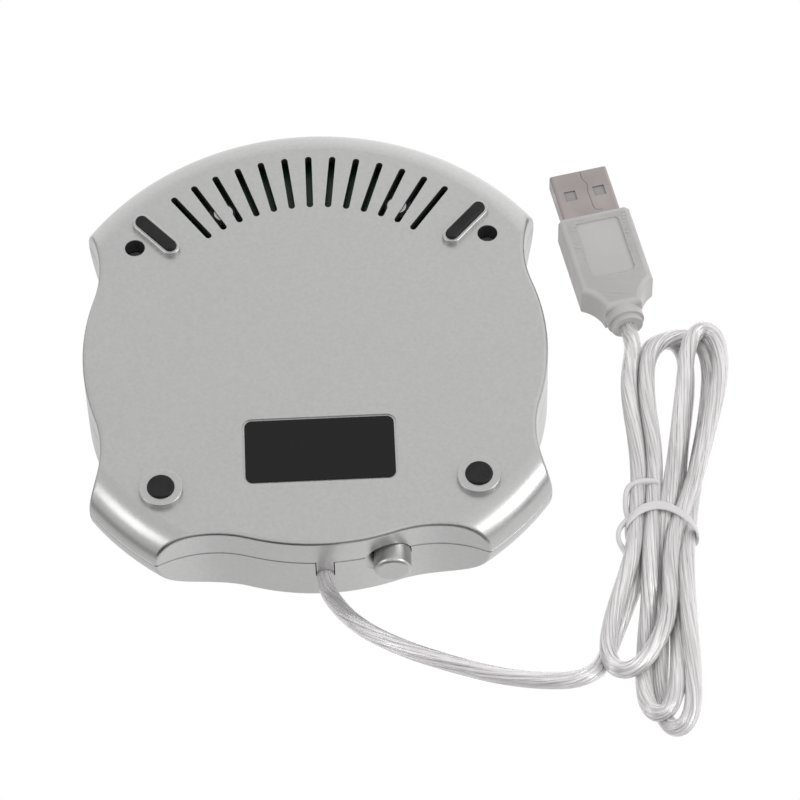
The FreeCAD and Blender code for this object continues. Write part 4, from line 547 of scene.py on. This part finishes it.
red_wire, shader = new_finish("red wire", (0.55, 0.03, 0.02), 0.35)
worn(red_wire, shader, 700.0, 0.3, 0.42)
black_wire, shader = new_finish("black wire", (0.02, 0.02, 0.02), 0.35)
worn(black_wire, shader, 700.0, 0.3, 0.42)

lamp, shader = new_finish("clear lens", (0.80, 0.88, 1.0), 0.12)
shader.inputs["Transmission Weight"].default_value = 0.6
shader.inputs["IOR"].default_value = 1.49
worn(lamp, shader, 900.0, 0.08, 0.2)
print("electric:", ", ".join(part.name for part in (board, red_wire, black_wire, lamp)))

# %% [markdown]
# ## The lead's jacket
# The jacket is clear, and below it lies a bundle of fine tinned wires with a long twist. Real glass over real
# wires would be slow and would need thousands of strands, so one finish draws both. It reads the curve's own UV
# map, where U runs along the lead and V round it. Turning V into an angle, and adding turns of twist along U,
# gives a point on a helix. A noise pattern read at that point has no seam where V comes round, and it is drawn
# out along the wires. A smooth coat over it makes the jacket.

# %% Streaks along twisted wires
TWIST_TURNS = 9.0
jacket, shader = new_finish("clear jacket over wires", (0.68, 0.66, 0.665), 0.24, metallic=0.4)
split = node(jacket, "ShaderNodeSeparateXYZ")
join(jacket, node(jacket, "ShaderNodeTexCoord").outputs["UV"], split.inputs["Vector"])
along_lead, round_lead = split.outputs["X"], split.outputs["Y"]


def streaks(wires_round, wires_along):
    """Noise drawn out along the twisted wires, with so many streaks round and along the lead."""
    turned = work_out(jacket, "ADD", round_lead, both(jacket, along_lead, TWIST_TURNS))
    angle = both(jacket, turned, 2 * math.pi)
    helix = node(jacket, "ShaderNodeCombineXYZ")
    for axis, operation in (("X", "COSINE"), ("Y", "SINE")):
        join(jacket, both(jacket, work_out(jacket, operation, angle), wires_round), helix.inputs[axis])
    join(jacket, both(jacket, along_lead, wires_along), helix.inputs["Z"])
    pattern = node(jacket, "ShaderNodeTexNoise")
    pattern.inputs["Scale"].default_value = 1.0
    pattern.inputs["Detail"].default_value = 2.0
    join(jacket, helix.outputs["Vector"], pattern.inputs["Vector"])
    return pattern.outputs["Fac"]


print("the wires turn", TWIST_TURNS, "times in", round(lead_length, 3), "m")

# %% Wires, painted dark reflections and a clear coat
# Painted reflection: sparse dark streaks in the colour stand for the dark patches that the shiny wires mirror.
WIRE_DARK, WIRE_LIGHT, PAINTED_DARK_REFLECTION = (0.50, 0.485, 0.485), (0.92, 0.90, 0.905), (0.16, 0.155, 0.155)
DARK_REFLECTION_START, DARK_REFLECTION_END, DARK_REFLECTION_STRENGTH = 0.64, 0.74, 0.7
wires = streaks(4.6, 60.0)
wire_colour = tint(jacket, shader, wires, WIRE_DARK, WIRE_LIGHT)
emboss(jacket, shader, wires, 0.0006, strength=1.0)
dark_reflections = spread(jacket, streaks(6.5, 130.0), 0.0, DARK_REFLECTION_STRENGTH, DARK_REFLECTION_START, DARK_REFLECTION_END)
join(jacket, blend(jacket, dark_reflections, wire_colour, PAINTED_DARK_REFLECTION), shader.inputs["Base Color"])
shader.inputs["Sheen Weight"].default_value = 0.5
shader.inputs["Sheen Roughness"].default_value = 0.3
let_light_in(shader, 0.6, 0.003)
shader.inputs["Coat Weight"].default_value = 1.0
shader.inputs["Coat Roughness"].default_value = 0.05
lead.data.materials.append(jacket)
print("the jacket has", len(jacket.node_tree.nodes), "nodes")

# %% [markdown]
# ## The tie
# The hank is held by a soft white plastic tie, which is a flat strip with rounded edges. Its band goes round all
# the strands and rides up in the middle. One end is bent back over the nearest strand, and the other hangs out
# as a small loop. A strip is a curve with an extrusion for its width and a bevel for its thickness, because both
# follow the curve round its bends. The band's curve is drawn flat, stood up, and bowed once it is a mesh.

# %% A helper for flat strips
TIE_WIDTH = 1.9
TIE_THICKNESS = 0.6


def smooth_faces(mesh):
    """Shade every face of a mesh smooth."""
    for face in mesh.polygons:
        face.use_smooth = True


def strip(name, points, width, thickness, closed=False):
    """A flat strip in millimetres that stands on its edge, as an object with a mesh."""
    data = bpy.data.curves.new(name, "CURVE")
    data.dimensions = "3D"
    data.twist_mode = "Z_UP"
    data.bevel_depth = thickness / 2
    data.extrude = (width - thickness) / 2
    data.bevel_resolution = 3
    data.use_fill_caps = True
    spline = data.splines.new("NURBS")
    spline.points.add(len(points) - 1)
    for point, place in zip(spline.points, points):
        point.co = (*place, 1.0)
    spline.use_cyclic_u = closed
    spline.order_u = 3
    spline.use_endpoint_u = not closed
    spline.resolution_u = 8
    drawn = add_to_scene(name, data)
    mesh = bpy.data.meshes.new_from_object(drawn)
    bpy.data.objects.remove(drawn)
    mesh.materials.clear()
    smooth_faces(mesh)
    return add_to_scene(name, mesh)


print("the tie is", TIE_WIDTH, "mm wide and", TIE_THICKNESS, "mm thick")

# %% The band round the strands
BAND = (
    (60.2, 0.3, 0.0), (66.5, 0.3, 0.0), (72.0, 0.3, 0.0), (73.2, 1.4, 0.0), (73.2, 4.0, 0.0), (72.6, 7.3, 0.0),
    (66.5, 7.3, 0.0), (60.8, 7.3, 0.0), (59.5, 6.0, 0.0), (59.4, 2.0, 0.0),
)
BOW_PLACE, BOW_LOW, BOW = 65.5, 42.1, 0.095

tie = strip("tie_band", BAND, TIE_WIDTH, TIE_THICKNESS, closed=True)
tie.data.transform(Matrix.Rotation(math.radians(90.0), 4, "X"))
for vertex in tie.data.vertices:
    vertex.co.y += BOW_LOW + BOW * (vertex.co.x - BOW_PLACE) ** 2
print("the band has", len(tie.data.polygons), "faces")

# %% The tie's two ends
TAIL_WIDTH, TAIL_THICKNESS = 1.7, 1.1
TAIL = (
    (66.3, 36.5, 0.8), (64.3, 36.1, 0.8), (62.2, 36.3, 0.9), (60.3, 36.9, 1.6), (59.7, 38.9, 2.2),
    (59.6, 41.7, 2.2), (59.9, 43.9, 2.0), (60.9, 45.0, 1.4),
)
LOOP_WIDTH, LOOP_THICKNESS = 1.5, 0.9
LOOP = (
    (61.2, 43.4, 0.8), (59.7, 44.4, 1.6), (58.0, 45.9, 2.2), (57.6, 48.0, 2.4), (58.2, 50.2, 2.4),
    (59.3, 52.0, 2.6),
)
ends = [strip("tie_tail", TAIL, TAIL_WIDTH, TAIL_THICKNESS), strip("tie_loop", LOOP, LOOP_WIDTH, LOOP_THICKNESS)]
print("the ends have", [len(end.data.polygons) for end in ends], "faces")

# %% The tie as one piece
shape = bmesh.new()
for piece in (tie, *ends):
    shape.from_mesh(piece.data)
shape.transform(Matrix.Translation((0.0, DISC_SHIFT, 0.0)))
bmesh.ops.scale(shape, vec=(MM, MM, MM), verts=shape.verts)
shape.to_mesh(tie.data)
shape.free()
for piece in ends:
    bpy.data.objects.remove(piece)
smooth_faces(tie.data)
tie.data.materials.append(tie_plastic)
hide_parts("cord_tie")
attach(tie, "housing")
print("the tie has", len(tie.data.polygons), "faces")

# %% [markdown]
# ## The seam of the plug
# The plug's shell is bent from one strip of sheet steel, and its two edges lock into each other in the middle of
# one side. What shows is a thin dark line with a dovetail's bends. It could be cut into the shell, but a fine
# strip laid into the shell's face draws the same line and leaves the shell as it is. Its edge stands a few
# hundredths of a millimetre proud.

# %% The seam
SEAM_WIDTH, SEAM_THICKNESS, SEAM_DEPTH = 0.16, 0.14, 0.05
SEAM = (
    (55.8, -41.0), (55.9, -40.4), (56.2, -39.0), (57.2, -38.1), (57.0, -36.4), (57.5, -34.7), (58.0, -32.1),
    (58.6, -31.2), (60.0, -31.4),
)
shell_low, shell_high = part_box("plug_shell")
seam_place = [(x, y, shell_low.z / MM + SEAM_DEPTH) for x, y in SEAM]
seam = strip("plug_seam", seam_place, SEAM_WIDTH, SEAM_THICKNESS)
seam.data.transform(Matrix.Translation((0.0, DISC_SHIFT, 0.0)))
seam.data.transform(Matrix.Scale(MM, 4))
seam_dark, shader = new_finish("seam shadow", (0.10, 0.09, 0.085), 0.6, metallic=0.4)
worn(seam_dark, shader, 900.0, 0.5, 0.7)
seam.data.materials.append(seam_dark)
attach(seam, "housing")
shell_thickness = (shell_high - shell_low).z / MM
print("the seam has", len(seam.data.polygons), "faces on a shell", round(shell_thickness, 2), "mm thick")

# %% [markdown]
# ## Two posts behind the vents
# The floor of the case carries two short round posts that the board rests on. They stand just where the vents
# are, so a sliver of each shows in two of the slots, in the silver of the floor. A post is a circle that is
# extruded, inset and sunk in the middle, where a screw would start. It could be a cylinder with a hole cut by a
# boolean, but the inset leaves cleaner faces.

# %% Board posts
POST_PLACE = (17.8, -34.9)
POST_RADIUS, PILOT_RADIUS, PILOT_DEPTH = 1.95, 0.8, 2.0
POST_LOW, POST_HIGH = 2.35, 5.4


def board_post(name, side):
    """A moulded post on the left (-1) or the right (1) of the floor."""
    shape = bmesh.new()
    rim = bmesh.ops.create_circle(shape, cap_ends=True, segments=32, radius=POST_RADIUS * MM,
                                  matrix=Matrix.Translation(at(side * POST_PLACE[0], POST_PLACE[1], POST_LOW)))
    raised = bmesh.ops.extrude_face_region(shape, geom=rim["verts"] + shape.edges[:] + shape.faces[:])["geom"]
    top = [item for item in raised if isinstance(item, bmesh.types.BMVert)]
    bmesh.ops.translate(shape, verts=top, vec=(0.0, 0.0, (POST_HIGH - POST_LOW) * MM))
    lid = [item for item in raised if isinstance(item, bmesh.types.BMFace)]
    bmesh.ops.inset_region(shape, faces=lid, thickness=(POST_RADIUS - PILOT_RADIUS) * MM)
    bmesh.ops.translate(shape, verts=lid[0].verts, vec=(0.0, 0.0, -PILOT_DEPTH * MM))
    bmesh.ops.recalc_face_normals(shape, faces=shape.faces)
    mesh = bpy.data.meshes.new(name)
    shape.to_mesh(mesh)
    shape.free()
    made = add_to_scene(name, mesh)
    mesh.materials.append(button_paint)
    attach(made, "housing")
    return made


posts = [board_post("board_post_left", -1), board_post("board_post_right", 1)]
print("posts", len(posts), "with", len(posts[0].data.polygons), "faces each")

# %% [markdown]
# ## The spring of the button
# A small coil of round wire pushes the button back out. It is a circle of wire that spins about the spring's
# axis and moves along it a little at each step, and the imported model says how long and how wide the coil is.

# %% The coil
WIRE = 0.18
SPRING_TURNS = 3
STEPS_A_TURN = 28
spring_low, spring_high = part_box("switch_spring")
spring_middle = (spring_low + spring_high) / 2
spring_length = spring_high.y - spring_low.y
coil_radius = (spring_high.x - spring_low.x) / 2 - WIRE * MM
start = Vector((spring_middle.x + coil_radius, spring_low.y + WIRE * MM, spring_middle.z))
shape = bmesh.new()
section = bmesh.ops.create_circle(shape, segments=8, radius=WIRE * MM, matrix=Matrix.Translation(start))
steps = STEPS_A_TURN * SPRING_TURNS
climb = (spring_length - 2 * WIRE * MM) / steps
bmesh.ops.spin(shape, geom=section["verts"] + shape.edges[:], cent=spring_middle, axis=(0.0, 1.0, 0.0),
               dvec=(0.0, climb, 0.0), angle=2 * math.pi * SPRING_TURNS, steps=steps)
bmesh.ops.holes_fill(shape, edges=[edge for edge in shape.edges if edge.is_boundary], sides=0)
bmesh.ops.recalc_face_normals(shape, faces=shape.faces)
spring_mesh = bpy.data.meshes.new("button_spring")
shape.to_mesh(spring_mesh)
shape.free()
smooth_faces(spring_mesh)
spring_mesh.materials.append(spring_wire)
spring = add_to_scene("button_spring", spring_mesh)
print("the spring is", round(spring_length / MM, 2), "mm long and has", len(spring_mesh.polygons), "faces")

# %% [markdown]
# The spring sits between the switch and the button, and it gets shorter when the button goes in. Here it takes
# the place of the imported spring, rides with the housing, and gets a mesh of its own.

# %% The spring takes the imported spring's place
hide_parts("switch_spring")
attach(spring, "housing")
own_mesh(spring)

# %% [markdown]
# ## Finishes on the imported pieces
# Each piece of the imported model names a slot, which is the part's own word for its material. One table turns a
# slot into a finish, so that pieces made of the same stuff always match. The short tail of the lead inside the
# case has no UV map for the twisted wires, so it takes the plug's grey.

# %% Give every node its finish
FINISHES = {
    "silver_shell": silver, "button_silver": button_paint, "plate_aluminium": plate_metal, "silicone": silicone,
    "heater_film": film, "insulation_felt": felt, "plated_steel": steel, "fuse_body": fuse_glaze,
    "wire_red": red_wire, "wire_black": black_wire, "board_green": board, "socket_shell": tinned,
    "socket_plastic": black_plastic, "contact_gold": gold, "chip_black": resin, "capacitor_sleeve": sleeve,
    "lamp_clear": lamp, "switch_plastic": nylon, "spring_steel": spring_wire, "clamp_plastic": nylon,
    "clear_jacket": soft_grey, "wire_insulation": red_wire, "tie_white": tie_plastic, "plug_grey": soft_grey,
    "plug_steel": plug_metal, "plug_insulator": insulator_painted_shade, "foot_rubber": rubber, "label_black": label,
}
for part in frame["record"]["subparts"]:
    mesh = frame["nodes"][part["node"]].data
    mesh.materials.clear()
    mesh.materials.append(FINISHES[part["material_slot"]])

# %% [markdown]
# ## Floor
# The floor is a pale plane that shows only from above, because the main camera looks up through it. It keeps the
# object's shadow for the views from above, and it casts none itself, so the lamps below the floor light the
# underside. Geometry's Backfacing tells the shader which side a ray comes from.

# %% Floor that shows from above
FLOOR_SIZE = 3.0
floor_mesh = bpy.data.meshes.new("floor")
shape = bmesh.new()
bmesh.ops.create_grid(shape, x_segments=1, y_segments=1, size=FLOOR_SIZE)
shape.to_mesh(floor_mesh)
shape.free()
floor = add_to_scene("floor", floor_mesh)
floor_paint, shader = new_finish("floor", (0.85, 0.85, 0.85), 0.8)
choose = node(floor_paint, "ShaderNodeMixShader")
join(floor_paint, node(floor_paint, "ShaderNodeNewGeometry").outputs["Backfacing"], choose.inputs["Fac"])
join(floor_paint, shader.outputs["BSDF"], choose.inputs[1])
join(floor_paint, node(floor_paint, "ShaderNodeBsdfTransparent").outputs["BSDF"], choose.inputs[2])
join(floor_paint, choose.outputs["Shader"], floor_paint.node_tree.nodes["Material Output"].inputs["Surface"])
floor_mesh.materials.append(floor_paint)
floor.visible_shadow = False
floor.visible_diffuse = False
floor.visible_glossy = False
floor.visible_transmission = False
print("the floor reaches", FLOOR_SIZE, "m each way")

# %% [markdown]
# ## World
# The world is plain white where the camera or a clear piece looks at it, and softer where it only lights the
# object, so pale pieces keep their tone on a white ground. Light Path tells these rays apart. What a shiny piece
# mirrors counts as looked at too, and gets its own shades in the next step.

# %% White to look at, softer as light
DIFFUSE_LEVEL = 0.68
world = bpy.data.worlds.new("world")
bpy.context.scene.world = world
world.use_nodes = True
sky = world.node_tree.nodes["Background"]
sky.inputs["Color"].default_value = (1.0, 1.0, 1.0, 1.0)
paths = node(world, "ShaderNodeLightPath").outputs
seen = work_out(world, "MAXIMUM", paths["Is Camera Ray"], paths["Is Glossy Ray"])
seen = work_out(world, "MAXIMUM", seen, paths["Is Transmission Ray"])
level = work_out(world, "ADD", both(world, seen, 1.0 - DIFFUSE_LEVEL), DIFFUSE_LEVEL)
print("the world lights the object at", DIFFUSE_LEVEL)

# %% [markdown]
# Satin paint shows what stands round it, so in a studio, cards are put up about a shiny object. A dark card in
# front, on the button's side, draws the dark line along the rounded front edge, and a smaller one on the left
# draws the line there. Behind and on the right it is lighter, which lifts the rim behind the vents, and a light
# patch high in front lifts the walls. Real cards would also shade the table and stand in other views. These are
# directions of the world that only reflections show, each one with a soft border. The front card takes away
# slightly more than the world gives, so its middle is a touch darker than black.


# %% Soft borders in the world
def rise(value, start, end):
    """A smooth rise from 0 at start to 1 at end."""
    ranged = node(world, "ShaderNodeMapRange", interpolation_type="SMOOTHSTEP")
    ranged.inputs["From Min"].default_value = start
    ranged.inputs["From Max"].default_value = end
    join(world, value, ranged.inputs["Value"])
    return ranged.outputs["Result"]


direction = node(world, "ShaderNodeSeparateXYZ")
join(world, node(world, "ShaderNodeTexCoord").outputs["Generated"], direction.inputs["Vector"])
rightward, forward, upward = (direction.outputs[axis] for axis in "XYZ")
leftward = both(world, rightward, -1.0)
backward = both(world, forward, -1.0)
print("the world's directions are split into right, front and up")

# %% Cards that only reflections show
FRONT_SHADE, LEFT_SHADE = 0.95, 0.55
BASE_LEVEL, BACK_GLOW, RIGHT_GLOW, WALL_GLOW = 0.89, 0.36, 0.22, 0.06
front_card = both(world, rise(forward, 0.52, 0.85), rise(upward, -0.65, -0.35))
left_card = both(world, rise(leftward, 0.2, 0.5),
                 both(world, rise(forward, -0.85, -0.65), rise(upward, 0.02, 0.16)))
shade = work_out(world, "MAXIMUM", both(world, front_card, FRONT_SHADE), both(world, left_card, LEFT_SHADE))
shade = both(world, shade, work_out(world, "SUBTRACT", 1.0, rise(upward, 0.35, 0.55)))
high_in_front = both(world, rise(forward, 0.25, 0.5), rise(upward, 0.4, 0.75))
glow = work_out(world, "ADD", both(world, rise(backward, 0.5, 0.95), BACK_GLOW),
                both(world, rise(rightward, -0.1, 0.2), RIGHT_GLOW))
glow = work_out(world, "ADD", glow, both(world, high_in_front, WALL_GLOW))
mirrored = work_out(world, "ADD", work_out(world, "SUBTRACT", glow, shade), BASE_LEVEL - 1.0)
level = both(world, level, work_out(world, "ADD", both(world, mirrored, paths["Is Glossy Ray"]), 1.0))
join(world, level, sky.inputs["Strength"])
print("reflections see the world at", BASE_LEVEL, "with cards down to", round(BASE_LEVEL - FRONT_SHADE, 2))

# %% [markdown]
# ## Lamps
# Two soft lamps below the floor light the underside, the right one stronger, and draw the bright bands on the
# rounded edges at the left and the right. Two more above light the roof and the table for the other views. Those
# stay out of reflections, because there they put a white glare on the case's left edge.

# %% Four soft lamps
MIDDLE = Vector((0.02, 0.02, 0.01))
LAMPS = (
    # name, place, width, watts, whether reflections show it
    ("lamp below right", (1.05, 0.28, -0.76), 0.7, 5.2, True),
    ("lamp below left", (-1.01, 0.28, -0.76), 0.6, 2.4, True),
    ("lamp above left", (-0.9, -0.9, 0.9), 0.8, 3.6, False),
    ("lamp above right", (0.9, -0.9, 0.9), 0.8, 2.6, False),
)
for name, place, width, watts, mirrored_too in LAMPS:
    light = bpy.data.lights.new(name, "AREA")
    light.size = width
    light.energy = watts
    soft_lamp = add_to_scene(name, light)
    soft_lamp.location = place
    soft_lamp.rotation_euler = (MIDDLE - Vector(place)).to_track_quat("-Z", "Y").to_euler()
    soft_lamp.visible_glossy = mirrored_too
bpy.context.scene.view_settings.view_transform = "Standard"
print("lamps", len(LAMPS), "with", round(sum(row[3] for row in LAMPS), 1), "W in all")

# %% [markdown]
# ## The last update
# Blender brings the scene up to date once more.

# %% Bring the scene up to date
bpy.context.view_layer.update()
